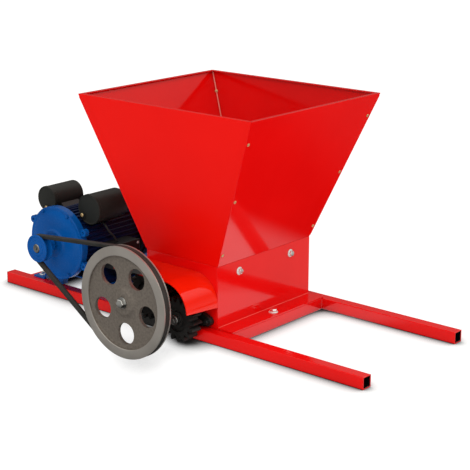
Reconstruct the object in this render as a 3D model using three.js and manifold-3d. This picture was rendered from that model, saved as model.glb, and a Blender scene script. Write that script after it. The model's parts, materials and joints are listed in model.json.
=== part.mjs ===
// Roller grape crusher: a square-tube frame that lies across a vat, a four-panel hopper over a
// box with two geared rollers, and an electric motor that drives them by a V-belt.
// Millimetres, +Z up. X runs along the frame rails, Y runs to the back, and the origin is the
// centre of the frame in the plane of the rails' undersides.

import * as THREE from "three";
import { mergeVertices } from "three/addons/utils/BufferGeometryUtils.js";
import Module from "manifold-3d";

const wasm = await Module();
wasm.setup();

// ---- Driving dimensions -------------------------------------------------------------------

const GAP = 0.3;                 // clearance between touching pieces

const TUBE = 25;                 // square tube, outside
const TUBE_WALL = 2;
const RAIL_LENGTH = 1000;
const RAIL_Y = 160;              // rail centre line
const RAIL_INNER_Y = RAIL_Y - TUBE / 2;

const BOX_X = 27;                // centre of the roller box and the hopper
const BOX_HALF_X = 98;
const BOX_HALF_Y = 151;
const BOX_TOP = 157;
const PLATE = 2.5;               // sheet of the roller box
const FLANGE = 40;               // foot flange of the side plates

const HOPPER_HALF_X = 232;       // at the rim
const HOPPER_HALF_Y = 209.5;
const HOPPER_TOP = 478;
const SHEET = 2;                 // sheet of the hopper and the gear guard
const SKIRT = 40;                // hopper skirt inside the roller box
const KNEE = 3;                  // height of the step between skirt and slope
const HEM = 9;                   // folded rim

const GEAR_MODULE = 5;
const DRIVE_TEETH = 19;
const DRIVEN_TEETH = 17;
const DRIVE_X = -22;
const DRIVE_Z = 81;
const DRIVEN_X = 61;
const CENTRE_DISTANCE = GEAR_MODULE * (DRIVE_TEETH + DRIVEN_TEETH) / 2;
const DRIVEN_Z = DRIVE_Z - Math.sqrt(CENTRE_DISTANCE ** 2 - (DRIVEN_X - DRIVE_X) ** 2);
const GEAR_FRONT = -205;
const GEAR_WIDTH = 26;

const SHAFT_R = 10;
const SHAFT_BACK = 186;
const ROLLER_R = 41;
const ROLLER_HALF_LENGTH = 143;

const PULLEY_FRONT = -277;
const PULLEY_WIDTH = 20;
const PULLEY_R = 118;
const BELT_WIDTH = 12.4;
const BELT_HEIGHT = 8;

const MOTOR_X = -275;
const MOTOR_Z = 147;
const MOTOR_HEIGHT = 90;         // shaft above the motor's feet
const MOTOR_R = 80;              // end shields; the cooling fins stop 9 mm inside
const FIN_R = MOTOR_R - 9;
const MOTOR_PULLEY_R = 30;
const MOTOR_SHAFT_R = 9.5;

// ---- Materials ----------------------------------------------------------------------------

function paint(color, roughness, metalness) {
  return new THREE.MeshStandardMaterial({ color, roughness, metalness });
}

const RED = paint(0xd81410, 0.2, 0.1);
const BLUE = paint(0x1450a0, 0.25, 0.1);
const BLACK = paint(0x1e1e1e, 0.45, 0.1);
const CAN = paint(0x2a2925, 0.5, 0);
const IRON = paint(0x78746c, 0.5, 0.8);
const GEAR_IRON = paint(0x262626, 0.55, 0.5);
const STEEL = paint(0xa8a8a6, 0.35, 0.9);
const ZINC = paint(0xc8c8c4, 0.3, 0.9);
const ALUMINIUM = paint(0xb4b6b8, 0.4, 0.9);
const RUBBER = paint(0x2c2c2a, 0.8, 0);
const COPPER = paint(0x9a5a34, 0.5, 0.6);

// ---- Geometry helpers ---------------------------------------------------------------------

const machine = new THREE.Group();

function add(name, geometry, material, x = 0, y = 0, z = 0, parent = machine) {
  const mesh = new THREE.Mesh(geometry, material);
  mesh.name = name;
  mesh.position.set(x, y, z);
  parent.add(mesh);
  return mesh;
}

// A box given by its lowest and highest corners.
function block(low, high) {
  const size = high.map((value, axis) => value - low[axis]);
  const geometry = new THREE.BoxGeometry(...size);
  geometry.translate(...low.map((value, axis) => value + size[axis] / 2));
  return geometry;
}

// An outline in X and Z, made solid from y0 to y1.
function alongY(shape, y0, y1, segments = 12) {
  const options = { depth: y1 - y0, bevelEnabled: false, curveSegments: segments };
  const geometry = new THREE.ExtrudeGeometry(shape, options);
  geometry.rotateX(Math.PI / 2);
  geometry.translate(0, y1, 0);
  return geometry;
}

// A round piece about the Y axis, from points [radius, y].
function turned(points, segments = 28) {
  const profile = points.map(([radius, y]) => new THREE.Vector2(radius, y));
  return new THREE.LatheGeometry(profile, segments);
}

function cylinderY(radius, y0, y1, segments = 20) {
  return turned([[0, y0], [radius, y0], [radius, y1], [0, y1]], segments);
}

function ringY(inner, outer, y0, y1, segments = 24) {
  return turned([[inner, y0], [outer, y0], [outer, y1], [inner, y1], [inner, y0]], segments);
}

function outline(points) {
  return new THREE.Shape(points.map(([x, z]) => new THREE.Vector2(x, z)));
}

function circlePath(x, z, radius) {
  return new THREE.Path().absarc(x, z, radius, 0, 2 * Math.PI);
}

function toSolid(geometry) {
  const bare = geometry.clone();
  bare.deleteAttribute("normal");
  bare.deleteAttribute("uv");
  const merged = mergeVertices(bare, 1e-4);
  return new wasm.Manifold(new wasm.Mesh({
    numProp: 3,
    vertProperties: new Float32Array(merged.attributes.position.array),
    triVerts: new Uint32Array(merged.index.array),
  }));
}

function fromSolid(solid) {
  const mesh = solid.getMesh();
  const geometry = new THREE.BufferGeometry();
  geometry.setAttribute("position", new THREE.BufferAttribute(mesh.vertProperties, 3));
  geometry.setIndex(new THREE.BufferAttribute(mesh.triVerts, 1));
  geometry.computeVertexNormals();
  return geometry;
}

function join(...geometries) {
  return fromSolid(geometries.map(toSolid).reduce((sum, solid) => sum.add(solid)));
}

function cut(geometry, ...tools) {
  return fromSolid(tools.map(toSolid).reduce((rest, tool) => rest.subtract(tool), toSolid(geometry)));
}

function moved(geometry, x, y, z) {
  return geometry.translate(x, y, z);
}

// A cylinder from one point along "x", "y" or "z".
function rod(radius, axis, from, length, segments = 12) {
  const geometry = cylinderY(radius, 0, length, segments);
  if (axis === "x") geometry.rotateZ(-Math.PI / 2);
  if (axis === "z") geometry.rotateX(Math.PI / 2);
  return moved(geometry, ...from);
}

// ---- Frame --------------------------------------------------------------------------------

function squareTube(length) {
  const half = TUBE / 2;
  const inner = half - TUBE_WALL;
  const section = outline([[-half, -half], [half, -half], [half, half], [-half, half]]);
  section.holes.push(outline([[-inner, -inner], [-inner, inner], [inner, inner], [inner, -inner]]));
  return alongY(section, -length / 2, length / 2);
}

const CROSS_LENGTH = 2 * (RAIL_INNER_Y - GAP);
const CROSS_OFFSET = BOX_HALF_X + 27.5;      // cross tube centre from the box centre
const FRAME_BOLT_OFFSET = BOX_HALF_X + 23;
const BOLT_HOLE_R = 4.5;

function buildFrame() {
  for (const [name, side] of [["rail_front", -1], ["rail_back", 1]]) {
    const rail = squareTube(RAIL_LENGTH).rotateZ(Math.PI / 2);
    add(name, rail, RED, 0, side * RAIL_Y, TUBE / 2);
  }
  for (const [name, side] of [["cross_tube_left", -1], ["cross_tube_right", 1]]) {
    const tube = moved(squareTube(CROSS_LENGTH), BOX_X + side * CROSS_OFFSET, 0, TUBE / 2);
    const hole = [BOX_X + side * FRAME_BOLT_OFFSET, 0, TUBE - 5];
    add(name, cut(tube, rod(BOLT_HOLE_R, "z", hole, 10)), RED);
  }
  add("motor_cross_tube", squareTube(CROSS_LENGTH), RED, -432.5, 0, TUBE / 2);
}

// ---- Roller box ---------------------------------------------------------------------------

const BOX_BOTTOM = TUBE + GAP;
const SIDE_BOLT_Y = 84;
const SIDE_BOLT_Z = 134;

function buildSidePlate(name, side) {
  const face = BOX_HALF_X;
  const foot = [
    [face - PLATE, BOX_BOTTOM], [face + FLANGE, BOX_BOTTOM], [face + FLANGE, BOX_BOTTOM + PLATE],
    [face, BOX_BOTTOM + PLATE], [face, BOX_TOP - GAP], [face - PLATE, BOX_TOP - GAP],
  ];
  const profile = outline(foot.map(([x, z]) => [side * x, z]));
  const plate = moved(alongY(profile, -BOX_HALF_Y, BOX_HALF_Y), BOX_X, 0, 0);
  const start = BOX_X + side * face - 10;
  const holes = [-SIDE_BOLT_Y, SIDE_BOLT_Y].map((y) => rod(BOLT_HOLE_R, "x", [start, y, SIDE_BOLT_Z], 20));
  holes.push(rod(BOLT_HOLE_R, "z", [BOX_X + side * FRAME_BOLT_OFFSET, 0, TUBE - 5], 20));
  add(name, cut(plate, ...holes), RED);
}

const SHAFT_HOLE_R = 15;

function buildEndPlate(name, y0) {
  const half = BOX_HALF_X - PLATE - GAP;
  const left = BOX_X - half;
  const right = BOX_X + half;
  const top = BOX_TOP - GAP;
  const shape = outline([[left, BOX_BOTTOM], [right, BOX_BOTTOM], [right, top], [left, top]]);
  shape.holes.push(circlePath(DRIVE_X, DRIVE_Z, SHAFT_HOLE_R));
  shape.holes.push(circlePath(DRIVEN_X, DRIVEN_Z, SHAFT_HOLE_R));
  add(name, alongY(shape, y0, y0 + PLATE), RED);
}

function buildRollerBox() {
  buildSidePlate("side_plate_left", -1);
  buildSidePlate("side_plate_right", 1);
  buildEndPlate("front_plate", -BOX_HALF_Y);
  buildEndPlate("back_plate", BOX_HALF_Y - PLATE);
}

// The guard is one bent sheet over the gears: flat on top, then round down the right side.
// Its lower edge rises a little towards the front.
const GUARD_R = 60;
const GUARD_X = 65;
const GUARD_Z = 77.5;
const GUARD_LEFT = -78;
const GUARD_FRONT = -243;
const GUARD_BOTTOM = 72;
const GUARD_RISE = 7;

function buildGearGuard() {
  const inner = GUARD_R - SHEET;
  const shape = new THREE.Shape();
  shape.moveTo(GUARD_LEFT, GUARD_Z + GUARD_R);
  shape.lineTo(GUARD_LEFT, GUARD_Z + inner);
  shape.lineTo(GUARD_X, GUARD_Z + inner);
  shape.absarc(GUARD_X, GUARD_Z, inner, Math.PI / 2, 0, true);
  shape.lineTo(GUARD_X + inner, GUARD_BOTTOM);
  shape.lineTo(GUARD_X + GUARD_R, GUARD_BOTTOM);
  shape.absarc(GUARD_X, GUARD_Z, GUARD_R, 0, Math.PI / 2, false);
  const depth = -BOX_HALF_Y - GAP - GUARD_FRONT;
  const sheet = alongY(shape, GUARD_FRONT, GUARD_FRONT + depth, 14);
  const trimmer = block([0, -2 * depth, -40], [2 * GUARD_R, 2 * depth, 0]);
  trimmer.rotateX(-Math.atan2(GUARD_RISE, depth));
  moved(trimmer, GUARD_X, GUARD_FRONT + depth, GUARD_BOTTOM);
  add("gear_guard", cut(sheet, trimmer), RED);
}

// ---- Hopper -------------------------------------------------------------------------------

// Half sizes of the hopper's outside at height z.
function hopperHalf(z, low, high) {
  const t = Math.max(0, (z - BOX_TOP) / (HOPPER_TOP - BOX_TOP));
  return low + t * (high - low);
}

// One panel: a profile [n, z] across the sheet, with n measured out from the hopper's centre,
// stretched sideways to the mitred corners.
function hopperPanel(low, high, sideLow, sideHigh) {
  const slope = (high - low) / (HOPPER_TOP - BOX_TOP);
  const sideSlope = (sideHigh - sideLow) / (HOPPER_TOP - BOX_TOP);
  const thick = SHEET * Math.hypot(1, slope);
  const sideThick = SHEET * Math.hypot(1, sideSlope);
  const skirt = low - PLATE - GAP;
  const profile = outline([
    [low, BOX_TOP], [high, HOPPER_TOP], [high - HEM, HOPPER_TOP], [high - HEM, HOPPER_TOP - SHEET],
    [high - thick - slope * SHEET, HOPPER_TOP - SHEET],
    [low - thick + slope * KNEE, BOX_TOP + KNEE], [skirt - SHEET, BOX_TOP + KNEE],
    [skirt - SHEET, BOX_TOP - SKIRT], [skirt, BOX_TOP - SKIRT], [skirt, BOX_TOP],
  ]);
  const geometry = alongY(profile, -1, 1);
  const position = geometry.attributes.position;
  for (let i = 0; i < position.count; i += 1) {
    const n = position.getX(i);
    const z = position.getZ(i);
    const inset = (hopperHalf(z, low, high) - n) * (sideThick / thick);
    const half = hopperHalf(z, sideLow, sideHigh) - inset - GAP / 2;
    position.setY(i, position.getY(i) * half);
  }
  return geometry;
}

function buildHopper() {
  const sides = [["hopper_panel_right", 0], ["hopper_panel_left", Math.PI]];
  for (const [name, turn] of sides) {
    const panel = hopperPanel(BOX_HALF_X, HOPPER_HALF_X, BOX_HALF_Y, HOPPER_HALF_Y).rotateZ(turn);
    const holes = [-SIDE_BOLT_Y, SIDE_BOLT_Y].map((y) => (
      rod(BOLT_HOLE_R, "x", [Math.cos(turn) * BOX_HALF_X - 15, y, SIDE_BOLT_Z], 30)));
    add(name, cut(panel, ...holes), RED, BOX_X);
  }
  const ends = [["hopper_panel_front", -Math.PI / 2], ["hopper_panel_back", Math.PI / 2]];
  for (const [name, turn] of ends) {
    const panel = hopperPanel(BOX_HALF_Y, HOPPER_HALF_Y, BOX_HALF_X, HOPPER_HALF_X).rotateZ(turn);
    add(name, panel, RED, BOX_X);
  }
}

// ---- Fasteners ----------------------------------------------------------------------------

// A hex bolt with its washer, head towards +Z, with the washer's underside at z = 0.
function hexBolt(acrossFlats, head, washerR, washer, shankR, length) {
  const hex = new THREE.CylinderGeometry(acrossFlats / Math.sqrt(3), acrossFlats / Math.sqrt(3), head, 6);
  hex.rotateX(Math.PI / 2).translate(0, 0, washer + head / 2);
  const disc = rod(washerR, "z", [0, 0, 0], washer + 0.1, 20);
  const shank = rod(shankR, "z", [0, 0, -length], length + washer);
  return join(shank, disc, hex);
}

function buildFasteners() {
  for (const [endName, end] of [["front", -1], ["back", 1]]) {
    const bolt = hexBolt(13, 5.3, 8.5, 1.6, 4, 12).rotateY(Math.PI / 2);
    const x = BOX_X + BOX_HALF_X + GAP;
    add(`hopper_bolt_${endName}`, bolt, ZINC, x, end * SIDE_BOLT_Y, SIDE_BOLT_Z);
  }
  for (const [sideName, side] of [["left", -1], ["right", 1]]) {
    const frameBolt = hexBolt(14, 6, 10, 1.8, 4, 16);
    const z = BOX_BOTTOM + PLATE + GAP;
    add(`frame_bolt_${sideName}`, frameBolt, ZINC, BOX_X + side * FRAME_BOLT_OFFSET, 0, z);
  }
}

// ---- Bearings, shafts and rollers ---------------------------------------------------------

const LOBE_OFFSET = 45;          // bolt lobe from the bearing's centre
const BEARING_BODY_R = 20;
const LOBE_R = 10;
const BEARING_RING_R = 15;

// A two-bolt flange bearing that stands out towards -Y from y = 0.
function flangeBearing() {
  const lean = Math.acos((BEARING_BODY_R - LOBE_R) / LOBE_OFFSET);
  const shape = new THREE.Shape();
  shape.absarc(LOBE_OFFSET, 0, LOBE_R, -lean, lean, false);
  shape.absarc(0, 0, BEARING_BODY_R, lean, Math.PI - lean, false);
  shape.absarc(-LOBE_OFFSET, 0, LOBE_R, Math.PI - lean, Math.PI + lean, false);
  shape.absarc(0, 0, BEARING_BODY_R, Math.PI + lean, 2 * Math.PI - lean, false);
  shape.closePath();
  const flange = alongY(shape, -11, 0, 5);
  const boss = turned([[0, -24], [18.5, -24], [19.5, -20], [19.5, -5], [0, -5]], 20);
  const bore = cylinderY(BEARING_RING_R + GAP, -40, 10);
  return cut(join(flange, boss), bore);
}

const BEARINGS = [
  { shaft: "drive", x: DRIVE_X, z: DRIVE_Z, tilt: THREE.MathUtils.degToRad(50) },
  { shaft: "driven", x: DRIVEN_X, z: DRIVEN_Z, tilt: THREE.MathUtils.degToRad(-8) },
];

function buildBearings() {
  for (const { shaft, x, z, tilt } of BEARINGS) {
    for (const [end, side] of [["front", -1], ["back", 1]]) {
      const housing = flangeBearing().rotateY(side * tilt);
      if (side > 0) housing.rotateZ(Math.PI);
      add(`${shaft}_bearing_${end}`, housing, GEAR_IRON, x, side * (BOX_HALF_Y + GAP), z);
      const y = side * (BOX_HALF_Y + 15);
      const ring = ringY(SHAFT_R + GAP, BEARING_RING_R, y - 12, y + 12, 20);
      add(`${shaft}_bearing_ring_${end}`, ring, STEEL, x, 0, z);
    }
  }
}

// A spur gear blank with involute teeth; one tooth is centred on the X axis.
function spurGear(teeth) {
  const pitch = GEAR_MODULE * teeth / 2;
  const pressure = THREE.MathUtils.degToRad(20);
  const base = pitch * Math.cos(pressure);
  const root = pitch - 1.25 * GEAR_MODULE;
  const tip = pitch + 0.95 * GEAR_MODULE;
  const backlash = 0.25 / pitch;
  const involute = (angle) => Math.tan(angle) - angle;
  const halfAngle = (radius) => (
    Math.PI / (2 * teeth) - backlash + involute(pressure)
    - involute(Math.acos(Math.min(1, base / radius))));
  const steps = [root, Math.max(base, root + 0.5), pitch, tip];
  const points = [];
  for (let tooth = 0; tooth < teeth; tooth += 1) {
    const centre = 2 * Math.PI * tooth / teeth;
    const flank = (radius, sign) => {
      const angle = centre + sign * halfAngle(radius);
      points.push([radius * Math.cos(angle), radius * Math.sin(angle)]);
    };
    steps.forEach((radius) => flank(radius, -1));
    [...steps].reverse().forEach((radius) => flank(radius, 1));
  }
  return outline(points);
}

const HUB_RECESS_R = 27;

function gearPiece(teeth) {
  const shape = spurGear(teeth);
  shape.holes.push(circlePath(0, 0, SHAFT_R + GAP));
  const blank = alongY(shape, GEAR_FRONT, GEAR_FRONT + GEAR_WIDTH, 8);
  const recess = ringY(16, HUB_RECESS_R, GEAR_FRONT - 1, GEAR_FRONT + 4, 20);
  return cut(blank, recess);
}

function rollerShape() {
  const shape = new THREE.Shape();
  const lobes = 6;
  const height = 8;
  const count = 48;
  for (let i = 0; i < count; i += 1) {
    const angle = 2 * Math.PI * i / count;
    const radius = ROLLER_R - height / 2 + height / 2 * Math.cos(lobes * angle);
    const point = [radius * Math.cos(angle), radius * Math.sin(angle)];
    if (i === 0) shape.moveTo(...point);
    else shape.lineTo(...point);
  }
  shape.holes.push(circlePath(0, 0, SHAFT_R + GAP));
  return shape;
}

const KEY = 6;
const KEY_FRONT = PULLEY_FRONT + 4;
const KEY_LENGTH = 22;
const BOLT_CORE_R = 5;

function keyBlock(shaftR, front, clearance) {
  const half = KEY / 2 + clearance;
  const low = [-half, front - clearance, shaftR - 3 - clearance];
  const high = [half, front + KEY_LENGTH + clearance, shaftR + 3 + clearance];
  return block(low, high);
}

function buildRollerShafts() {
  const bore = BOLT_CORE_R + GAP;
  const end = PULLEY_FRONT + 3;
  const driveShaft = turned([
    [0, end + 26], [bore, end + 26], [bore, end], [SHAFT_R, end], [SHAFT_R, SHAFT_BACK], [0, SHAFT_BACK],
  ], 20);
  const slotted = cut(driveShaft, keyBlock(SHAFT_R, KEY_FRONT, GAP));
  add("drive_shaft", slotted, STEEL, DRIVE_X, 0, DRIVE_Z);
  const drivenEnd = GEAR_FRONT - 8;
  add("driven_shaft", cylinderY(SHAFT_R, drivenEnd, SHAFT_BACK), STEEL, DRIVEN_X, 0, DRIVEN_Z);

  const roller = alongY(rollerShape(), -ROLLER_HALF_LENGTH, ROLLER_HALF_LENGTH, 8);
  add("drive_roller", roller, ALUMINIUM, DRIVE_X, 0, DRIVE_Z);
  add("driven_roller", roller.clone(), ALUMINIUM, DRIVEN_X, 0, DRIVEN_Z);

  const towards = Math.atan2(DRIVEN_Z - DRIVE_Z, DRIVEN_X - DRIVE_X);
  const driveGear = gearPiece(DRIVE_TEETH).rotateY(-towards);
  const drivenGear = gearPiece(DRIVEN_TEETH).rotateY(-(towards + Math.PI + Math.PI / DRIVEN_TEETH));
  add("drive_gear", driveGear, GEAR_IRON, DRIVE_X, 0, DRIVE_Z);
  add("driven_gear", drivenGear, GEAR_IRON, DRIVEN_X, 0, DRIVEN_Z);
}

// ---- Pulleys and belt ---------------------------------------------------------------------

const BELT_Y = PULLEY_FRONT + PULLEY_WIDTH / 2;
const BELT_SINK = 0.5;           // belt top below the pulley's rim
const BELT_TAPER = 2.4;          // the belt is this much narrower each side at its inner face

// Points [radius, y] of a V-groove in a rim, from its back edge to its front edge.
function groove(rimR) {
  const top = BELT_WIDTH / 2 + GAP + 0.1;
  const bottom = top - BELT_TAPER - 0.4;
  const depth = BELT_HEIGHT + BELT_SINK + 1.5;
  return [
    [rimR, BELT_Y + top], [rimR - depth, BELT_Y + bottom],
    [rimR - depth, BELT_Y - bottom], [rimR, BELT_Y - top],
  ];
}

const SPOKE_HOLE_R = 22.5;
const SPOKE_HOLE_RADIUS = 66;
const SPOKE_HOLES = 5;
const SPOKE_START = -87;         // degrees

function buildLargePulley() {
  const front = PULLEY_FRONT;
  const back = PULLEY_FRONT + PULLEY_WIDTH;
  const rimInner = 0.83 * PULLEY_R;
  const webFront = front + 7;
  const webBack = front + 15;
  const hubR = 31;
  const bore = SHAFT_R + GAP;
  const blank = turned([
    [bore, front + 2], [hubR, front + 2], [hubR + 2, webFront], [rimInner - 2, webFront],
    [rimInner, front], [PULLEY_R, front], ...groove(PULLEY_R).reverse(), [PULLEY_R, back],
    [rimInner, back], [rimInner - 1, webBack], [hubR + 1, webBack], [hubR - 2, back + 4],
    [bore, back + 4], [bore, front + 2],
  ], 48);
  const holes = [];
  for (let i = 0; i < SPOKE_HOLES; i += 1) {
    const angle = THREE.MathUtils.degToRad(SPOKE_START + 360 * i / SPOKE_HOLES);
    const hole = cylinderY(SPOKE_HOLE_R, front - 5, back + 5);
    holes.push(moved(hole, SPOKE_HOLE_RADIUS * Math.cos(angle), 0, SPOKE_HOLE_RADIUS * Math.sin(angle)));
  }
  const pulley = cut(blank, ...holes, keyBlock(SHAFT_R, KEY_FRONT, GAP));
  add("large_pulley", pulley, IRON, DRIVE_X, 0, DRIVE_Z);
  add("pulley_key", keyBlock(SHAFT_R, KEY_FRONT, 0), STEEL, DRIVE_X, 0, DRIVE_Z);
  const seat = front + 2 - GAP;
  const washer = ringY(BOLT_CORE_R + GAP, 16, seat - 2.5, seat, 20);
  add("pulley_washer", washer, ZINC, DRIVE_X, 0, DRIVE_Z);
  const hex = new THREE.CylinderGeometry(9.8, 9.8, 7, 6).translate(0, seat - 2.5 - GAP - 3.5, 0);
  const bolt = join(hex, cylinderY(BOLT_CORE_R, seat - 6, seat + 22, 12));
  add("pulley_bolt", bolt, ZINC, DRIVE_X, 0, DRIVE_Z);
}

function buildMotorPulley() {
  const front = PULLEY_FRONT;
  const back = PULLEY_FRONT + PULLEY_WIDTH;
  const bore = MOTOR_SHAFT_R + GAP;
  const pulley = turned([
    [bore, front], [MOTOR_PULLEY_R - 1, front], [MOTOR_PULLEY_R, front + 1],
    ...groove(MOTOR_PULLEY_R).reverse(), [MOTOR_PULLEY_R, back], [20, back], [20, back + 6],
    [bore, back + 6], [bore, front],
  ], 28);
  add("motor_pulley", pulley, BLUE, MOTOR_X, 0, MOTOR_Z);
}

// The belt is one closed loop: an arc round each pulley and a straight run between them.
function buildBelt() {
  const large = { x: DRIVE_X, z: DRIVE_Z, r: PULLEY_R - BELT_SINK - BELT_HEIGHT / 2 };
  const small = { x: MOTOR_X, z: MOTOR_Z, r: MOTOR_PULLEY_R - BELT_SINK - BELT_HEIGHT / 2 };
  const along = Math.atan2(small.z - large.z, small.x - large.x);
  const spread = Math.acos((large.r - small.r) / Math.hypot(small.x - large.x, small.z - large.z));
  const stations = [];
  const arc = (pulley, from, to, steps) => {
    for (let i = 0; i <= steps; i += 1) {
      stations.push({ pulley, angle: from + (to - from) * i / steps });
    }
  };
  arc(large, along + spread, along - spread + 2 * Math.PI, 32);
  arc(small, along - spread, along + spread, 12);
  const section = [
    [BELT_HEIGHT / 2, -BELT_WIDTH / 2], [BELT_HEIGHT / 2, BELT_WIDTH / 2],
    [-BELT_HEIGHT / 2, BELT_WIDTH / 2 - BELT_TAPER], [-BELT_HEIGHT / 2, -BELT_WIDTH / 2 + BELT_TAPER],
  ];
  const positions = [];
  for (const { pulley, angle } of stations) {
    for (const [out, side] of section) {
      const radius = pulley.r + out;
      const x = pulley.x + radius * Math.cos(angle);
      const z = pulley.z + radius * Math.sin(angle);
      positions.push(x, BELT_Y + side, z);
    }
  }
  const index = [];
  const corners = section.length;
  for (let i = 0; i < stations.length; i += 1) {
    const next = (i + 1) % stations.length;
    for (let k = 0; k < corners; k += 1) {
      const a = i * corners + k;
      const b = i * corners + (k + 1) % corners;
      const c = next * corners + (k + 1) % corners;
      const d = next * corners + k;
      index.push(a, b, c, a, c, d);
    }
  }
  const geometry = new THREE.BufferGeometry();
  geometry.setAttribute("position", new THREE.Float32BufferAttribute(positions, 3));
  geometry.setIndex(index);
  add("v_belt", geometry, RUBBER);
}

// ---- Motor --------------------------------------------------------------------------------

const BODY_FRONT = -203;
const BODY_BACK = -30;
const BODY_R = 68;
const CORE_R = 64;
const CORE_FRONT = -175;
const CORE_BACK = -60;
const AIR_GAP_R = 48;            // rotor surface
const FINS = 36;

function buildMotorBody() {
  const shape = new THREE.Shape();
  const fin = [[BODY_R, -0.045], [FIN_R, -0.02], [FIN_R, 0.02], [BODY_R, 0.045]];
  for (let i = 0; i < FINS; i += 1) {
    const centre = 2 * Math.PI * i / FINS;
    for (const [radius, turn] of fin) {
      const point = [radius * Math.cos(centre + turn), radius * Math.sin(centre + turn)];
      if (i === 0 && turn === fin[0][1]) shape.moveTo(...point);
      else shape.lineTo(...point);
    }
  }
  shape.holes.push(circlePath(0, 0, CORE_R + GAP));
  const shell = alongY(shape, BODY_FRONT + GAP, BODY_BACK - GAP, 14);
  add("motor_body", shell, BLUE, MOTOR_X, 0, MOTOR_Z);
  const stator = ringY(AIR_GAP_R + 2, CORE_R - 1, CORE_FRONT, CORE_BACK);
  add("stator_core", stator, COPPER, MOTOR_X, 0, MOTOR_Z);
}

const FRONT_BOSS_R = 22;         // bearing seat in the front end shield
const BACK_BOSS_R = 19;
const BACK_SHAFT_R = 8;

function buildEndShields() {
  const seat = FRONT_BOSS_R;
  const front = turned([
    [seat, -230], [30, -230], [33, -227], [56, -225], [67, -223], [73, -220.5], [MOTOR_R, -220],
    [MOTOR_R, BODY_FRONT], [66, BODY_FRONT], [65, -213], [54, -217], [34, -217], [seat, -217],
    [seat, -230],
  ], 32);
  add("end_shield_front", front, BLUE, MOTOR_X, 0, MOTOR_Z);
  const backR = MOTOR_R - 2;
  const back = turned([
    [BACK_BOSS_R, BODY_BACK], [backR, BODY_BACK], [backR, BODY_BACK + 12], [60, BODY_BACK + 14],
    [32, BODY_BACK + 20], [BACK_BOSS_R, BODY_BACK + 20], [BACK_BOSS_R, BODY_BACK],
  ], 32);
  add("end_shield_back", back, BLACK, MOTOR_X, 0, MOTOR_Z);
  const bearing = ringY(MOTOR_SHAFT_R + GAP, FRONT_BOSS_R - GAP, -229, -218, 20);
  add("motor_bearing_front", bearing, STEEL, MOTOR_X, 0, MOTOR_Z);
  const rear = ringY(BACK_SHAFT_R + GAP, BACK_BOSS_R - GAP, BODY_BACK + 3, BODY_BACK + 15, 20);
  add("motor_bearing_back", rear, STEEL, MOTOR_X, 0, MOTOR_Z);
}

const FAN_FRONT = -5;
const FAN_BACK = 15;
const FAN_R = 62;
const COVER_BACK = 45;

function buildRotor() {
  const shaft = turned([
    [0, PULLEY_FRONT - 1], [MOTOR_SHAFT_R - 1, PULLEY_FRONT - 1], [MOTOR_SHAFT_R, PULLEY_FRONT],
    [MOTOR_SHAFT_R, -45], [BACK_SHAFT_R, -45], [BACK_SHAFT_R, FAN_BACK + 2], [0, FAN_BACK + 2],
  ], 20);
  add("motor_shaft", shaft, STEEL, MOTOR_X, 0, MOTOR_Z);
  const rotor = ringY(MOTOR_SHAFT_R + GAP, AIR_GAP_R, CORE_FRONT, CORE_BACK);
  add("rotor_core", rotor, STEEL, MOTOR_X, 0, MOTOR_Z);

  const bladeCount = 8;
  const blades = [];
  for (let i = 0; i < bladeCount; i += 1) {
    const blade = block([14, FAN_FRONT + 2, -1.5], [FAN_R, FAN_BACK, 1.5]);
    blades.push(blade.rotateY(2 * Math.PI * i / bladeCount));
  }
  const hub = cylinderY(18, FAN_FRONT, FAN_BACK);
  const disc = cylinderY(50, FAN_FRONT, FAN_FRONT + 3);
  const bore = cylinderY(BACK_SHAFT_R + GAP, FAN_FRONT - 10, FAN_BACK + 10, 16);
  add("fan", cut(join(hub, disc, ...blades), bore), BLACK, MOTOR_X, 0, MOTOR_Z);
}

function buildFanCover() {
  const wall = 1.5;
  const mouth = BODY_BACK + 13;
  const cup = turned([
    [0, COVER_BACK], [0, COVER_BACK - wall], [63, COVER_BACK - wall], [MOTOR_R - 4, COVER_BACK - 12],
    [MOTOR_R - wall, -5], [MOTOR_R - wall, mouth], [MOTOR_R, mouth], [MOTOR_R, -5],
    [MOTOR_R - 2, COVER_BACK - 12], [64, COVER_BACK], [0, COVER_BACK],
  ], 32);
  const slots = [];
  for (let i = 0; i < 12; i += 1) {
    const slot = block([20, COVER_BACK - 8, -3], [56, COVER_BACK + 5, 3]);
    slots.push(slot.rotateY(Math.PI * i / 6));
  }
  add("fan_cover", cut(cup, ...slots), BLACK, MOTOR_X, 0, MOTOR_Z);
}

// Radius of each capacitor, and its centre and front from the motor's axis.
const CAPACITORS = [
  { name: "run_capacitor", radius: 28.5, offset: -77, rise: 76, front: -175 },
  { name: "start_capacitor", radius: 33, offset: 70, rise: 80, front: -188 },
];
const CAPACITOR_LENGTH = 86;
const SADDLE_INSET = 18;         // saddle ends behind the capacitor's ends
const SADDLE_HALF_WIDTH = 14;

function buildCapacitors() {
  for (const { name, radius, offset, rise, front } of CAPACITORS) {
    const back = front + CAPACITOR_LENGTH;
    const can = turned([
      [0, front], [radius - 2, front], [radius, front + 2], [radius, back - 2], [radius - 2, back],
      [0, back],
    ]);
    add(name, can, CAN, MOTOR_X + offset, 0, MOTOR_Z + rise);
    const reach = Math.hypot(offset, rise) - radius;
    const low = [FIN_R + GAP, front + SADDLE_INSET, -SADDLE_HALF_WIDTH];
    const high = [reach + 8, back - SADDLE_INSET, SADDLE_HALF_WIDTH];
    const saddle = block(low, high).rotateY(-Math.atan2(rise, offset));
    const seat = moved(cylinderY(radius + GAP, front, back, 28), offset, 0, rise);
    add(`${name}_saddle`, cut(saddle, seat), BLACK, MOTOR_X, 0, MOTOR_Z);
  }
}

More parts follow.
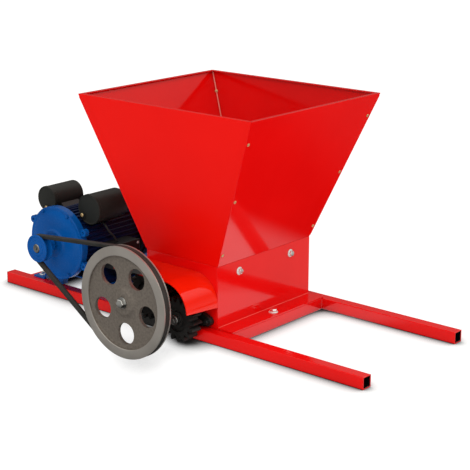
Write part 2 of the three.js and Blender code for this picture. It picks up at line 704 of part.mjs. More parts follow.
// The terminal box is on the right of the motor, with a lead from the start capacitor.
const TERMINAL = { x0: FIN_R + GAP, x1: 109, y0: -150, y1: -80, z0: -56, z1: 0 };
const TERMINAL_WALL = 3;
const TERMINAL_MIDDLE = TERMINAL.x1 - 17;
const GLAND_Y = TERMINAL.y0 + 50;
const LEAD_Y = TERMINAL.y0 + 20;
const LEAD_R = 2.2;

function buildTerminalBox() {
  const { x0, x1, y0, y1, z0, z1 } = TERMINAL;
  const wall = TERMINAL_WALL;
  const shell = block([x0, y0, z0], [x1, y1, z1]);
  const cavity = block([x0 + wall, y0 + wall, z0 + wall], [x1 + 5, y1 - wall, z1 - wall]);
  const glandHole = rod(6, "z", [TERMINAL_MIDDLE, GLAND_Y, z0 - 5], 10);
  const leadHole = rod(2 * LEAD_R, "z", [TERMINAL_MIDDLE, LEAD_Y, z1 - 5], 10);
  add("terminal_box", cut(shell, cavity, glandHole, leadHole), BLACK, MOTOR_X, 0, MOTOR_Z);
  const lid = block([x1 + GAP, y0 - 1, z0 - 1], [x1 + 4, y1 + 1, z1 + 1]);
  add("terminal_box_lid", lid, BLACK, MOTOR_X, 0, MOTOR_Z);
  const gland = join(
    rod(9, "z", [TERMINAL_MIDDLE, GLAND_Y, z0 - GAP - 9], 9),
    rod(5.5, "z", [TERMINAL_MIDDLE, GLAND_Y, z0 - wall], 6),
  );
  const throat = rod(3.5, "z", [TERMINAL_MIDDLE, GLAND_Y, z0 - 20], 40);
  add("cable_gland", cut(gland, throat), BLACK, MOTOR_X, 0, MOTOR_Z);
}

function buildCapacitorLead() {
  const curve = new THREE.CatmullRomCurve3([
    new THREE.Vector3(66, -150, 44),
    new THREE.Vector3(76, -150, 42),
    new THREE.Vector3(86, -146, 27),
    new THREE.Vector3(92, -134, 9),
    new THREE.Vector3(TERMINAL_MIDDLE, LEAD_Y, -6),
  ]);
  const section = new THREE.Shape().absarc(0, 0, LEAD_R, 0, 2 * Math.PI);
  const options = { steps: 14, curveSegments: 4, bevelEnabled: false, extrudePath: curve };
  add("capacitor_lead", new THREE.ExtrudeGeometry(section, options), RUBBER, MOTOR_X, 0, MOTOR_Z);
}

// ---- Motor base ---------------------------------------------------------------------------

const BASE_HALF_X = 152;
const BASE_HALF_Y = 156;
const BASE_SHEET = 4;
const BASE_FLANGE = 34;          // flanges that rest on the rails
const BASE_LEAN = 14;            // the sloped sides lean in by this much
const BASE_LOW = TUBE + GAP;
const DECK = MOTOR_Z - MOTOR_HEIGHT - GAP;

function buildMotorBase() {
  const out = BASE_HALF_X;
  const rise = out - BASE_FLANGE;
  const half = [
    [out, BASE_LOW], [out, BASE_LOW + BASE_SHEET], [rise + 1, BASE_LOW + BASE_SHEET],
    [rise + 1 - BASE_LEAN, DECK],
  ];
  const mirrored = half.map(([x, z]) => [-x, z]).reverse();
  const foot = rise - 2;
  const shoulder = foot - BASE_LEAN;
  const under = [
    [-foot, BASE_LOW], [-shoulder, DECK - BASE_SHEET], [shoulder, DECK - BASE_SHEET], [foot, BASE_LOW],
  ];
  const profile = outline([...half, ...mirrored, ...under]);
  add("motor_base", alongY(profile, -BASE_HALF_Y, BASE_HALF_Y), BLUE, MOTOR_X);
  const leg = block([-73, -BASE_HALF_Y, BASE_LOW], [-54, -BASE_HALF_Y + 16, DECK - BASE_SHEET - GAP]);
  add("base_leg", leg, BLUE, MOTOR_X);
}

function buildMotorFeet() {
  const low = DECK + GAP;
  const half = [[40, low], [88, low], [88, low + 9], [70, low + 11], [52, low + 40], [40, low + 40]];
  const barrel = moved(cylinderY(FIN_R + GAP, BODY_FRONT, BODY_BACK, 48), 0, 0, MOTOR_Z);
  for (const [name, side] of [["motor_foot_left", -1], ["motor_foot_right", 1]]) {
    const foot = outline(half.map(([x, z]) => [side * x, z]));
    add(name, cut(alongY(foot, -178, -55), barrel), BLUE, MOTOR_X);
  }
}

// ---- Assembly -----------------------------------------------------------------------------

buildFrame();
buildRollerBox();
buildGearGuard();
buildHopper();
buildFasteners();
buildBearings();
buildRollerShafts();
buildLargePulley();
buildMotorPulley();
buildBelt();
buildMotorBody();
buildEndShields();
buildRotor();
buildFanCover();
buildCapacitors();
buildTerminalBox();
buildCapacitorLead();
buildMotorBase();
buildMotorFeet();

export default machine;
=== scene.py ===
"""Looks of a roller grape crusher that lies on two rails, with an open hopper and a belt drive.

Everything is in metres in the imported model's frame, +Z up. Small sizes are written in millimetres
and multiplied by MM. Round pieces turn about lines along Y, so their outlines are lists of
(radius, y).
"""

import json
import math

import bmesh
import bpy
from mathutils import Matrix, Vector


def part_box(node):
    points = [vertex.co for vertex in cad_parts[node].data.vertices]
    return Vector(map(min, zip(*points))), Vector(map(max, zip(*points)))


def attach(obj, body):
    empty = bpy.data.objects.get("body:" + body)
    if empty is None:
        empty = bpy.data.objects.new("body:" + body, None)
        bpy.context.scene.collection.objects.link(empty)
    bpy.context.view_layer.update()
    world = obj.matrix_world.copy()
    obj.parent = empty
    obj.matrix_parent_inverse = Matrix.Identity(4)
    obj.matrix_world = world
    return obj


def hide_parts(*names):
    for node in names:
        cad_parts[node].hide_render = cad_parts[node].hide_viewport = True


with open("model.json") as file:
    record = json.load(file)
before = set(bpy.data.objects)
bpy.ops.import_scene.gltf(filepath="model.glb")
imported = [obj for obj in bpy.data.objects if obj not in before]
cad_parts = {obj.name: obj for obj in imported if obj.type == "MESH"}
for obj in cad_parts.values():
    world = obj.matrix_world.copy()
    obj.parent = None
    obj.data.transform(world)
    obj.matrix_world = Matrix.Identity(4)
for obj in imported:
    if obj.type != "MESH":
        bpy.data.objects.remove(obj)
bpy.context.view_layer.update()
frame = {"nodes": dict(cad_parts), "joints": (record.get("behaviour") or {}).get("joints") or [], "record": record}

MM = 0.001
NODES = frame["nodes"]
AXIS = {joint["name"]: Vector(joint["pos_m"]) for joint in frame["joints"]}
DRIVE = AXIS["drive_roller_spin"]
DRIVEN = AXIS["driven_roller_spin"]
MOTOR = AXIS["motor_shaft_spin"]

RAIL_Y = 160 * MM
TUBE_HALF = 12.5 * MM
SIDE_SHEET = 2.5 * MM
FOOT_TOP = 28 * MM


# ---- Objects and shader nodes --------------------------------------------------------------


def add_object(name, data):
    """An object around data, linked into the scene."""
    made = bpy.data.objects.new(name, data)
    bpy.context.scene.collection.objects.link(made)
    return made


def mesh_object(name, mesh_data, paint):
    """Turns a bmesh into an object that has one finish."""
    mesh = bpy.data.meshes.new(name)
    mesh_data.to_mesh(mesh)
    mesh_data.free()
    mesh.materials.append(paint)
    return add_object(name, mesh)


def new_paint(name):
    made = bpy.data.materials.new(name)
    made.use_nodes = True
    return made


def set_inputs(node, values):
    """Gives a node's inputs their values by name."""
    for name, value in values.items():
        node.inputs[name].default_value = value


def map_range(tree, source, from_range, to_range=(0, 1), smooth=False):
    """Carries source from one range into another, and returns the output."""
    node = tree.nodes.new("ShaderNodeMapRange")
    if smooth:
        node.interpolation_type = "SMOOTHSTEP"
    node.inputs["From Min"].default_value, node.inputs["From Max"].default_value = from_range
    node.inputs["To Min"].default_value, node.inputs["To Max"].default_value = to_range
    tree.links.new(source, node.inputs["Value"])
    return node.outputs["Result"]


def math_node(tree, operation, *operands):
    """Works on operands that are numbers or other nodes' outputs, and returns the output."""
    node = tree.nodes.new("ShaderNodeMath")
    node.operation = operation
    for socket, operand in zip(node.inputs, operands):
        if isinstance(operand, bpy.types.NodeSocket):
            tree.links.new(operand, socket)
        else:
            socket.default_value = operand
    return node.outputs[0]


def split_axes(tree, output_name):
    """Outputs X, Y and Z of one of the texture coordinates."""
    coordinates = tree.nodes.new("ShaderNodeTexCoord")
    split = tree.nodes.new("ShaderNodeSeparateXYZ")
    tree.links.new(coordinates.outputs[output_name], split.inputs[0])
    return split.outputs


# ---- Camera, lights and floor --------------------------------------------------------------

CAMERA_TARGET = Vector((0.0451, -0.0036, 0.1778))
CAMERA_AZIMUTH = math.radians(40.366)
CAMERA_ELEVATION = math.radians(15.903)
CAMERA_ROLL = math.radians(0.123)
CAMERA_DISTANCE = 2.8765
CAMERA_LENS = 104.24


def make_camera():
    data = bpy.data.cameras.new("camera")
    data.sensor_width = 36
    data.lens = CAMERA_LENS
    camera = add_object("camera", data)
    flat = math.cos(CAMERA_ELEVATION)
    back = Vector((
        math.sin(CAMERA_AZIMUTH) * flat,
        -math.cos(CAMERA_AZIMUTH) * flat,
        math.sin(CAMERA_ELEVATION),
    ))
    right = Vector((0, 0, 1)).cross(back).normalized()
    up = back.cross(right)
    axes = Matrix((right, up, back)).transposed().to_4x4()
    roll = Matrix.Rotation(CAMERA_ROLL, 4, "Z")
    camera.matrix_world = Matrix.Translation(CAMERA_TARGET + back * CAMERA_DISTANCE) @ axes @ roll
    bpy.context.scene.camera = camera


# Brightness of the studio by the height of the direction, from straight down (-1) to straight up.
SKY = (
    (-1.0, 0.0), (-0.575, 0.0), (-0.545, 0.06), (-0.5, 0.1), (-0.42, 0.16), (-0.33, 0.4), (0.0, 0.38),
    (0.2, 0.2), (0.3, 0.22), (0.5, 0.85), (0.75, 1.2), (1.0, 1.3),
)
# The studio is brighter on its right side. These factors hold where the direction's X is beyond
# -SKY_SIDE and SKY_SIDE.
SKY_SIDE = 0.6
SKY_LEFT = 0.68
SKY_RIGHT = 1.3
NEW_CURVE_POINTS = 2  # A new curve already has this many points.


def make_world():
    """A white studio that is bright overhead and dark below the horizon."""
    world = bpy.data.worlds.new("studio")
    world.use_nodes = True
    bpy.context.scene.world = world
    tree = world.node_tree
    background = tree.nodes["Background"]
    background.inputs["Color"].default_value = (1, 0.975, 0.92, 1)
    axes = split_axes(tree, "Generated")
    curve = tree.nodes.new("ShaderNodeFloatCurve")
    top = max(level for height, level in SKY)
    points = curve.mapping.curves[0].points
    for index, (height, level) in enumerate(SKY):
        spot = ((height + 1) / 2, level / top)
        if index < NEW_CURVE_POINTS:
            points[index].location = spot
        else:
            points.new(*spot)
    for point in points:
        point.handle_type = "VECTOR"
    curve.mapping.update()
    tree.links.new(map_range(tree, axes["Z"], (-1, 1)), curve.inputs["Value"])
    sideways = map_range(tree, axes["X"], (-SKY_SIDE, SKY_SIDE), (SKY_LEFT * top, SKY_RIGHT * top))
    strength = math_node(tree, "MULTIPLY", curve.outputs["Value"], sideways)
    tree.links.new(strength, background.inputs["Strength"])


def area_light(name, spot, target, size, power):
    data = bpy.data.lights.new(name, "AREA")
    data.shape = "RECTANGLE"
    data.size, data.size_y = size
    data.energy = power
    light = add_object(name, data)
    light.location = spot
    light.rotation_euler = (Vector(target) - Vector(spot)).to_track_quat("-Z", "Y").to_euler()
    light.visible_glossy = False


def make_lights():
    area_light("key_light", (1.2, -2.6, 2.4), (0, 0, 0.2), (1.6, 1.2), 21.5)
    area_light("front_light", (0.2, -3.0, 0.7), (0, -0.2, 0.2), (1.8, 0.9), 11)
    area_light("side_light", (2.6, 1.0, 0.6), (0.1, 0, 0.15), (1.4, 0.8), 10.5)


def floor_paint():
    """White with painted contact shadow: its colour and glow grey softly where something stands on it."""
    paint = new_paint("floor_white")
    tree = paint.node_tree
    shader = tree.nodes["Principled BSDF"]
    set_inputs(shader, {"Roughness": 0.9, "Specular IOR Level": 0, "Emission Color": (1, 1, 1, 1)})
    nearby = tree.nodes.new("ShaderNodeAmbientOcclusion")
    nearby.samples = 16
    nearby.inputs["Distance"].default_value = 55 * MM
    for socket, covered, free in (("Base Color", 0.05, 0.26), ("Emission Strength", 0.0, 0.86)):
        shade = map_range(tree, nearby.outputs["AO"], (0.42, 0.96), (covered, free))
        tree.links.new(shade, shader.inputs[socket])
    return paint


def make_floor():
    """A pale floor at the rails' undersides, with a smooth dip below the large pulley."""
    half_size = 30.0
    steps = 240
    clearance = 0.0004
    dip_depth = 0.12
    dip_centre = Vector((0.02, -0.36, 0))
    dip_half_width = 0.42
    dip_behind = 0.18
    dip_before = 0.34
    grid = bmesh.new()
    bmesh.ops.create_grid(grid, x_segments=steps, y_segments=steps, size=1)
    for vertex in grid.verts:
        x = half_size * vertex.co.x ** 3 + dip_centre.x
        y = half_size * vertex.co.y ** 3 + dip_centre.y
        across = min(1, abs(x - dip_centre.x) / dip_half_width)
        along = min(1, abs(y - dip_centre.y) / (dip_behind if y > dip_centre.y else dip_before))
        dip = (1 - across ** 2) ** 2 * (1 - along ** 4) ** 2
        vertex.co = (x, y, -clearance - dip_depth * dip)
    floor = mesh_object("floor", grid, floor_paint())
    floor.data.shade_smooth()
    floor.visible_glossy = False


# The glowing card's slanted edge runs where X + CARD_SLANT * Y is constant. The glow fades out as
# that sum goes through CARD_EDGE_FADE, and goes from one CARD_GLOW to the other as Y goes through
# CARD_Y_FADE.
CARD_CORNERS = ((-0.5, -0.15), (0.57, -0.15), (0.012, 0.6), (-0.5, 0.6))
CARD_Z = -1 * MM
CARD_SLANT = 0.745
CARD_EDGE_FADE = (0.36, 0.455)
CARD_Y_FADE = (0.12, 0.2)
CARD_GLOW = (0.9, 0.5)


def card_paint():
    """A glow that weakens along Y and fades out at the slanted edge."""
    glow = new_paint("sheen_glow")
    tree = glow.node_tree
    tree.nodes.clear()
    axes = split_axes(tree, "Object")
    emission = tree.nodes.new("ShaderNodeEmission")
    clear = tree.nodes.new("ShaderNodeBsdfTransparent")
    blend = tree.nodes.new("ShaderNodeMixShader")
    output = tree.nodes.new("ShaderNodeOutputMaterial")
    brightness = map_range(tree, axes["Y"], CARD_Y_FADE, CARD_GLOW, smooth=True)
    across_slant = math_node(tree, "MULTIPLY_ADD", axes["Y"], CARD_SLANT, axes["X"])
    fade = map_range(tree, across_slant, CARD_EDGE_FADE, smooth=True)
    tree.links.new(brightness, emission.inputs["Strength"])
    tree.links.new(fade, blend.inputs["Fac"])
    tree.links.new(emission.outputs[0], blend.inputs[1])
    tree.links.new(clear.outputs[0], blend.inputs[2])
    tree.links.new(blend.outputs[0], output.inputs["Surface"])
    return glow


def make_sheen_card():
    """A glow on the floor between the rails that only shiny surfaces see."""
    made = bmesh.new()
    made.faces.new([made.verts.new((x, y, CARD_Z)) for x, y in CARD_CORNERS])
    card = mesh_object("sheen_card", made, card_paint())
    card.visible_camera = False
    card.visible_diffuse = False
    card.visible_shadow = False
    card.visible_transmission = False


# ---- Materials -----------------------------------------------------------------------------


def surface(name, dark, light, roughness, metallic=0.0, grain=60.0, bump=0.1, specular=0.5):
    """A shader whose colour, roughness and height vary with fine noise.

    dark and light are the ends of the colour range, roughness is a (low, high) pair, grain is the
    noise's scale and bump the strength of its relief.
    """
    made = new_paint(name)
    tree = made.node_tree
    shader = tree.nodes["Principled BSDF"]
    set_inputs(shader, {"Metallic": metallic, "Specular IOR Level": specular})
    coordinates = tree.nodes.new("ShaderNodeTexCoord")
    broad = tree.nodes.new("ShaderNodeTexNoise")
    set_inputs(broad, {"Scale": grain / 8, "Detail": 4})
    fine = tree.nodes.new("ShaderNodeTexNoise")
    set_inputs(fine, {"Scale": grain * 6, "Detail": 3})
    colours = tree.nodes.new("ShaderNodeValToRGB")
    for element, position, colour in zip(colours.color_ramp.elements, (0.3, 0.7), (dark, light)):
        element.position = position
        element.color = (*colour, 1)
    gloss = map_range(tree, fine.outputs["Fac"], (0, 1), roughness)
    relief = tree.nodes.new("ShaderNodeBump")
    set_inputs(relief, {"Strength": bump, "Distance": 0.2 * MM})
    link = tree.links.new
    link(coordinates.outputs["Object"], broad.inputs["Vector"])
    link(coordinates.outputs["Object"], fine.inputs["Vector"])
    link(broad.outputs["Fac"], colours.inputs["Fac"])
    link(fine.outputs["Fac"], relief.inputs["Height"])
    link(colours.outputs["Color"], shader.inputs["Base Color"])
    link(gloss, shader.inputs["Roughness"])
    link(relief.outputs["Normal"], shader.inputs["Normal"])
    return made


def turned_surface(name, dark, light, roughness, centre):
    """Bare metal with fine rings about a line along Y through centre, as a lathe leaves them."""
    made = surface(name, dark, light, roughness, metallic=0.75, grain=90, bump=0.15)
    tree = made.node_tree
    coordinates = tree.nodes["Texture Coordinate"]
    about = tree.nodes.new("ShaderNodeMapping")
    set_inputs(about, {"Location": (-centre.x, 0, -centre.z), "Scale": (1, 0, 1)})
    rings = tree.nodes.new("ShaderNodeTexWave")
    rings.wave_type = "RINGS"
    rings.rings_direction = "SPHERICAL"
    set_inputs(rings, {"Scale": 260, "Distortion": 1.5})
    relief = tree.nodes["Bump"]
    groove = tree.nodes.new("ShaderNodeBump")
    set_inputs(groove, {"Strength": 0.12, "Distance": 0.1 * MM})
    link = tree.links.new
    link(coordinates.outputs["Object"], about.inputs["Vector"])
    link(about.outputs["Vector"], rings.inputs["Vector"])
    link(rings.outputs["Fac"], groove.inputs["Height"])
    link(relief.outputs["Normal"], groove.inputs["Normal"])
    link(groove.outputs["Normal"], tree.nodes["Principled BSDF"].inputs["Normal"])
    return made


RED_DARK = (0.71, 0.0012, 0.001)
RED_LIGHT = (0.78, 0.0022, 0.0018)
# Near-black painted shade, put around the gears where the space behind the pulley lies in shade.
PAINTED_SHADE = (0.008, 0.007, 0.007)
# Near-black painted shade for the insides of the rails.
BORE_SHADE = (0.006, 0.004, 0.004)
RED = surface("red_powder", RED_DARK, RED_LIGHT, (0.07, 0.12), grain=40, bump=0.03)
RAIL_RED = surface("red_tube", RED_DARK, RED_LIGHT, (0.09, 0.15), grain=40, bump=0.04)
# The front plate's red, with painted shade around the gears.
RED_WITH_SHADE = surface("greasy_red", RED_DARK, RED_LIGHT, (0.1, 0.2), grain=40, bump=0.03)
FRONT_RED = surface("front_panel_red", (0.73, 0.0025, 0.0006), (0.77, 0.0035, 0.001), (0.2, 0.3),
                    grain=40, bump=0.03, specular=0.12)
# The front rail's red, with painted shade under the gears.
FRONT_RAIL_RED = surface("front_tube_red", RED_DARK, RED_LIGHT, (0.09, 0.15), grain=40, bump=0.04)
# The guard's red carries a patch of painted shade on its top.
GUARD_RED = surface("guard_red", (0.74, 0.008, 0.001), (0.84, 0.012, 0.0015), (0.08, 0.14),
                    grain=40, bump=0.03, specular=0.36)
# Pale pinks for painted highlights along bends and folded edges.
BEND_HIGHLIGHT = surface("worn_bend", (0.78, 0.045, 0.035), (0.88, 0.08, 0.062), (0.15, 0.25), grain=80)
EDGE_HIGHLIGHT = surface("worn_edge", (0.75, 0.14, 0.11), (0.88, 0.25, 0.2), (0.15, 0.25), grain=80)
BLUE = surface("blue_enamel", (0.0008, 0.056, 0.24), (0.0015, 0.084, 0.34), (0.2, 0.32),
               grain=70, bump=0.12, specular=0.14)
# A dark copy of the blue enamel, as painted shade, for the motor's barrel and feet.
SHADED_BLUE = surface("barrel_blue", (0.001, 0.007, 0.036), (0.002, 0.012, 0.058), (0.3, 0.45),
                 grain=70, bump=0.15, specular=0.18)
BLACK = surface("black_paint", (0.008, 0.008, 0.009), (0.016, 0.016, 0.017), (0.32, 0.5),
                grain=80, bump=0.15, specular=0.4)
PLASTIC = surface("black_plastic", (0.009, 0.009, 0.009), (0.015, 0.015, 0.014), (0.35, 0.5),
                  grain=120, specular=0.35)
CAN = surface("capacitor_shell", (0.018, 0.0185, 0.0165), (0.026, 0.0265, 0.024), (0.4, 0.5),
              grain=90, bump=0.06, specular=0.14)
RUBBER = surface("belt_rubber", (0.014, 0.014, 0.012), (0.03, 0.029, 0.026), (0.6, 0.8),
                 grain=200, bump=0.3)
CABLE = surface("cable_sheath", (0.014, 0.014, 0.014), (0.022, 0.022, 0.022), (0.4, 0.55), grain=150)
GEAR = surface("gear_iron", (0.007, 0.007, 0.007), (0.02, 0.019, 0.018), (0.35, 0.6),
               metallic=0.3, grain=110, bump=0.35)
BOLT = surface("bolt_steel", (0.75, 0.75, 0.73), (0.92, 0.92, 0.9), (0.14, 0.26), metallic=1, grain=120)
ZINC = surface("zinc_plate", (0.78, 0.78, 0.76), (0.93, 0.93, 0.91), (0.2, 0.34), metallic=0.4,
               grain=120)
BRASS = surface("yellow_zinc", (0.62, 0.44, 0.2), (0.8, 0.6, 0.32), (0.22, 0.36), metallic=0.6,
                grain=120)
# A dark, mottled steel for the bolt on the driven shaft's end, darker than the other bolts.
DARK_STEEL = surface("greasy_steel", (0.05, 0.048, 0.045), (0.3, 0.29, 0.28), (0.25, 0.4),
                       metallic=0.8, grain=400)
STEEL = surface("ground_steel", (0.4, 0.4, 0.39), (0.55, 0.55, 0.54), (0.25, 0.4), metallic=1,
                grain=150)
CAST = surface("cast_aluminium", (0.42, 0.43, 0.44), (0.6, 0.61, 0.62), (0.35, 0.5), metallic=0.9,
               grain=90, bump=0.25)
COPPER = surface("windings", (0.25, 0.09, 0.04), (0.4, 0.17, 0.08), (0.35, 0.5), metallic=0.7,
                 grain=200, bump=0.3)
PULLEY = surface("cast_disc", (0.18, 0.154, 0.131), (0.265, 0.23, 0.196), (0.38, 0.58),
                 metallic=0.6, grain=1600, bump=0.5)
RIM = turned_surface("turned_rim", (0.44, 0.41, 0.375), (0.58, 0.54, 0.5), (0.3, 0.42), DRIVE)


def darken(paint, shade, colour):
    """Mixes a finish's own colour over a dark one, by a socket that goes from 0, dark, to 1."""
    tree = paint.node_tree
    base = tree.nodes["Principled BSDF"].inputs["Base Color"]
    own_colour = base.links[0].from_socket
    mix = tree.nodes.new("ShaderNodeMix")
    mix.data_type = "RGBA"
    mix.inputs["A"].default_value = (*colour, 1)
    tree.links.new(shade, mix.inputs["Factor"])
    tree.links.new(own_colour, mix.inputs["B"])
    tree.links.new(mix.outputs["Result"], base)


def add_painted_shade(paint, centre, inner, outer, everywhere_on_y=True):
    """Paints shade: blackens a finish near centre, or near the line along Y through it, fading between two radii.
    """
    tree = paint.node_tree
    scale = Vector((1, 0 if everywhere_on_y else 1, 1))
    flatten = tree.nodes.new("ShaderNodeMapping")
    set_inputs(flatten, {"Location": -centre * scale, "Scale": scale})
    length = tree.nodes.new("ShaderNodeVectorMath")
    length.operation = "LENGTH"
    tree.links.new(tree.nodes["Texture Coordinate"].outputs["Object"], flatten.inputs["Vector"])
    tree.links.new(flatten.outputs["Vector"], length.inputs[0])
    shade_mask = map_range(tree, length.outputs["Value"], (inner, outer), smooth=True)
    darken(paint, shade_mask, PAINTED_SHADE)


def paint_bore_shade(paint):
    """Paints the insides of the long rails near black, as painted shade in the tubes."""
    tree = paint.node_tree
    axes = split_axes(tree, "Object")
    beside = math_node(tree, "SUBTRACT", math_node(tree, "ABSOLUTE", axes["Y"]), RAIL_Y)
    above = math_node(tree, "SUBTRACT", axes["Z"], TUBE_HALF)
    sizes = [math_node(tree, "ABSOLUTE", offset) for offset in (beside, above)]
    from_middle = math_node(tree, "MAXIMUM", *sizes)
    wall = map_range(tree, from_middle, (TUBE_HALF - 1.8 * MM, TUBE_HALF - 1.5 * MM))
    darken(paint, wall, BORE_SHADE)


# Painted shade around the gears: on the front plate, on the guard's top above the pulley's shaft and on the front
# rail under the gears.
add_painted_shade(RED_WITH_SHADE, DRIVE - Vector((8 * MM, 0, 19 * MM)), 58 * MM, 74 * MM)
add_painted_shade(GUARD_RED, Vector((-30, -224, 137)) * MM, 24 * MM, 56 * MM, everywhere_on_y=False)
add_painted_shade(FRONT_RAIL_RED, DRIVE - Vector((10 * MM, 0, 55 * MM)), 50 * MM, 62 * MM)
# Painted shade inside the rails' bores.
paint_bore_shade(RAIL_RED)
paint_bore_shade(FRONT_RAIL_RED)


# ---- Mesh helpers --------------------------------------------------------------------------


def to_object(name, mesh_data, paint, bevel=0.0, sharp=40):
    """Turns a bmesh into an object with smooth shading and softened edges."""
    bmesh.ops.remove_doubles(mesh_data, verts=mesh_data.verts, dist=1e-6)
    bmesh.ops.recalc_face_normals(mesh_data, faces=mesh_data.faces)
    piece = mesh_object(name, mesh_data, paint)
    if bevel:
        soften(piece, bevel)
    smooth_shade(piece, sharp)
    return piece


def smooth_shade(piece, sharp):
    """Shades a piece smoothly, apart from edges that bend by more than sharp degrees."""
    piece.data.shade_smooth()
    piece.data.set_sharp_from_angle(angle=math.radians(sharp))


def soften(piece, width, segments=3):
    bevel = piece.modifiers.new("soft_edges", "BEVEL")
    bevel.width = width
    bevel.segments = segments
    bevel.limit_method = "ANGLE"
    bevel.angle_limit = math.radians(35)
    bevel.harden_normals = True
    bevel.use_clamp_overlap = True


def apply_modifiers(piece):
    bpy.context.view_layer.update()
    graph = bpy.context.evaluated_depsgraph_get()
    mesh = bpy.data.meshes.new_from_object(piece.evaluated_get(graph), depsgraph=graph)
    piece.modifiers.clear()
    piece.data = mesh


def revolve(made, profile, steps, locate):
    """Joins one ring of vertices per (radius, level) pair; locate says where a vertex goes."""
    rings = []
    for radius, level in profile:
        angles = [2 * math.pi * step / steps for step in range(steps if radius > 0 else 1)]
        rings.append([made.verts.new(locate(radius, level, angle)) for angle in angles])
    for one, other in zip(rings, rings[1:]):
        join_rings(made, one, other)
    return made


def lathe(profile, centre, steps=96, into=None):
    """Revolves (radius, y) points in millimetres about the Y line through centre."""
    def locate(radius, y, angle):
        x = centre.x + radius * MM * math.cos(angle)
        return x, y * MM, centre.z + radius * MM * math.sin(angle)

    return revolve(into or bmesh.new(), profile, steps, locate)


def join_rings(made, one, other):
    count = max(len(one), len(other))
    if count == 1:
        return
    for i in range(count):
        j = (i + 1) % count
        corners = [one[i % len(one)], one[j % len(one)], other[j % len(other)], other[i % len(other)]]
        made.faces.new(list(dict.fromkeys(corners)))


def slab(low, high):
    """A box between two corners, in metres."""
    made = bmesh.new()
    size = Vector(high) - Vector(low)
    middle = (Vector(high) + Vector(low)) / 2
    bmesh.ops.create_cube(made, size=1, matrix=Matrix.Translation(middle) @ Matrix.Diagonal((*size, 1)))
    return made


def prism(outline, y0, y1):
    """A closed (x, z) outline in metres, made solid between two places on Y."""
    made = bmesh.new()
    front = [made.verts.new((x, y0, z)) for x, z in outline]
    back = [made.verts.new((x, y1, z)) for x, z in outline]
    join_rings(made, front, back)
    made.faces.new(front)
    made.faces.new(list(reversed(back)))
    return made


def cut_with(piece, tool):
    boolean = piece.modifiers.new("cut", "BOOLEAN")
    boolean.operation = "DIFFERENCE"
    boolean.solver = "EXACT"
    boolean.object = tool
    apply_modifiers(piece)
    bpy.data.objects.remove(tool)


def tube(name, points, radius, paint):
    """A round tube along a smooth curve through points, in metres."""
    curve = bpy.data.curves.new(name, "CURVE")
    curve.dimensions = "3D"
    curve.bevel_depth = radius
    curve.bevel_resolution = 5
    curve.resolution_u = 16
    curve.use_fill_caps = True
    spline = curve.splines.new("BEZIER")
    spline.bezier_points.add(len(points) - 1)
    for knot, point in zip(spline.bezier_points, points):
        knot.co = point
        knot.handle_left_type = knot.handle_right_type = "AUTO"
    curve.materials.append(paint)
    return add_object(name, curve)


def place(piece, body, slot, *replaced):
    """Says which body a piece rides on and hides the CAD nodes it stands for; slot is not used."""
    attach(piece, body)
    if replaced:
        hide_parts(*replaced)


def stand(seat, direction):
    """Carries millimetres with Z up into the frame, so that they stand on seat along direction."""
    turn = Vector(direction).to_track_quat("Z", "Y").to_matrix().to_4x4()
    return Matrix.Translation(seat) @ turn @ Matrix.Scale(MM, 4)


def polar(centre, radius, degrees, y):
    """A point at a distance in millimetres and an angle from a Y axis."""
    angle = math.radians(degrees)
    offset = Vector((math.cos(angle), 0, math.sin(angle))) * (radius * MM)
    return Vector((centre.x, y * MM, centre.z)) + offset


def ring_solid(made, matrix, profile, steps=36):
    """Revolves (radius, height) points about Z, then moves them by matrix."""
    def locate(radius, height, angle):
        return matrix @ Vector((radius * math.cos(angle), radius * math.sin(angle), height))

    revolve(made, profile, steps, locate)


def hex_bolt(name, seat, direction, flats, head, washer, body="machine", slot="zinc_steel", paint=None,
             shank=0.0, washer_paint=ZINC):
    """A hex head with a chamfered crown on a washer, standing on seat, with sizes in millimetres.

    The head and the washer share paint where it is given, and else have a finish each.
    """
    made = bmesh.new()
    matrix = stand(seat, direction)
    radius, height = washer
    ring_solid(made, matrix, [
        (0, 0), (radius * 0.97, 0), (radius, 0.3 * height), (radius, 0.7 * height),
        (radius * 0.96, height), (0, height),
    ])
    corner = flats / math.sqrt(3)
    ring_solid(made, matrix, [
        (0, height), (corner * 0.98, height), (corner, height + 0.1 * head),
        (corner, height + 0.82 * head), (corner * 0.9, height + 0.97 * head),
        (corner * 0.78, height + head), (0, height + head),
    ], 6)
    if shank:
        ring_solid(made, matrix, [(0, -shank), (0.3 * flats, -shank), (0.3 * flats, 0), (0, 0)], 24)
    piece = to_object(name, made, paint or washer_paint, sharp=25)
    if not paint:
        piece.data.materials.append(BOLT)
        for polygon in piece.data.polygons:
            from_seat = (polygon.center - seat).dot(Vector(direction).normalized())
            polygon.material_index = int(from_seat > 1.01 * height * MM)
    place(piece, body, slot)
    return piece


def pan_screw(name, seat, direction, radius, paint=BRASS):
    """A domed screw head with a cross recess, and its radius in millimetres."""
    made = bmesh.new()
    matrix = stand(seat, direction)
    height = 0.55 * radius
    dome = [(radius * math.cos(t), 0.15 * height + 0.85 * height * math.sin(t))
            for t in (0, 0.3, 0.6, 0.9, 1.2)]
    ring_solid(made, matrix, [(0, 0), (radius, 0), *dome, (0, height)], 28)
    piece = to_object(name, made, paint, sharp=50)
    arm, half = 0.6 * radius, 0.13 * radius
    cross = []
    for quarter in range(4):
        turned = Matrix.Rotation(quarter * math.pi / 2, 2)
        cross += [turned @ Vector(corner) for corner in ((half, half), (half, arm), (-half, arm))]
    recess = bmesh.new()
    levels = [[recess.verts.new(matrix @ Vector((*corner, level * height))) for corner in cross]
              for level in (0.6, 1.5)]
    join_rings(recess, *levels)
    for level in levels:
        recess.faces.new(level)
    cut_with(piece, to_object(name + "_recess", recess, paint))
    place(piece, "machine", "zinc_steel")


# ---- CAD pieces that stay ------------------------------------------------------------------


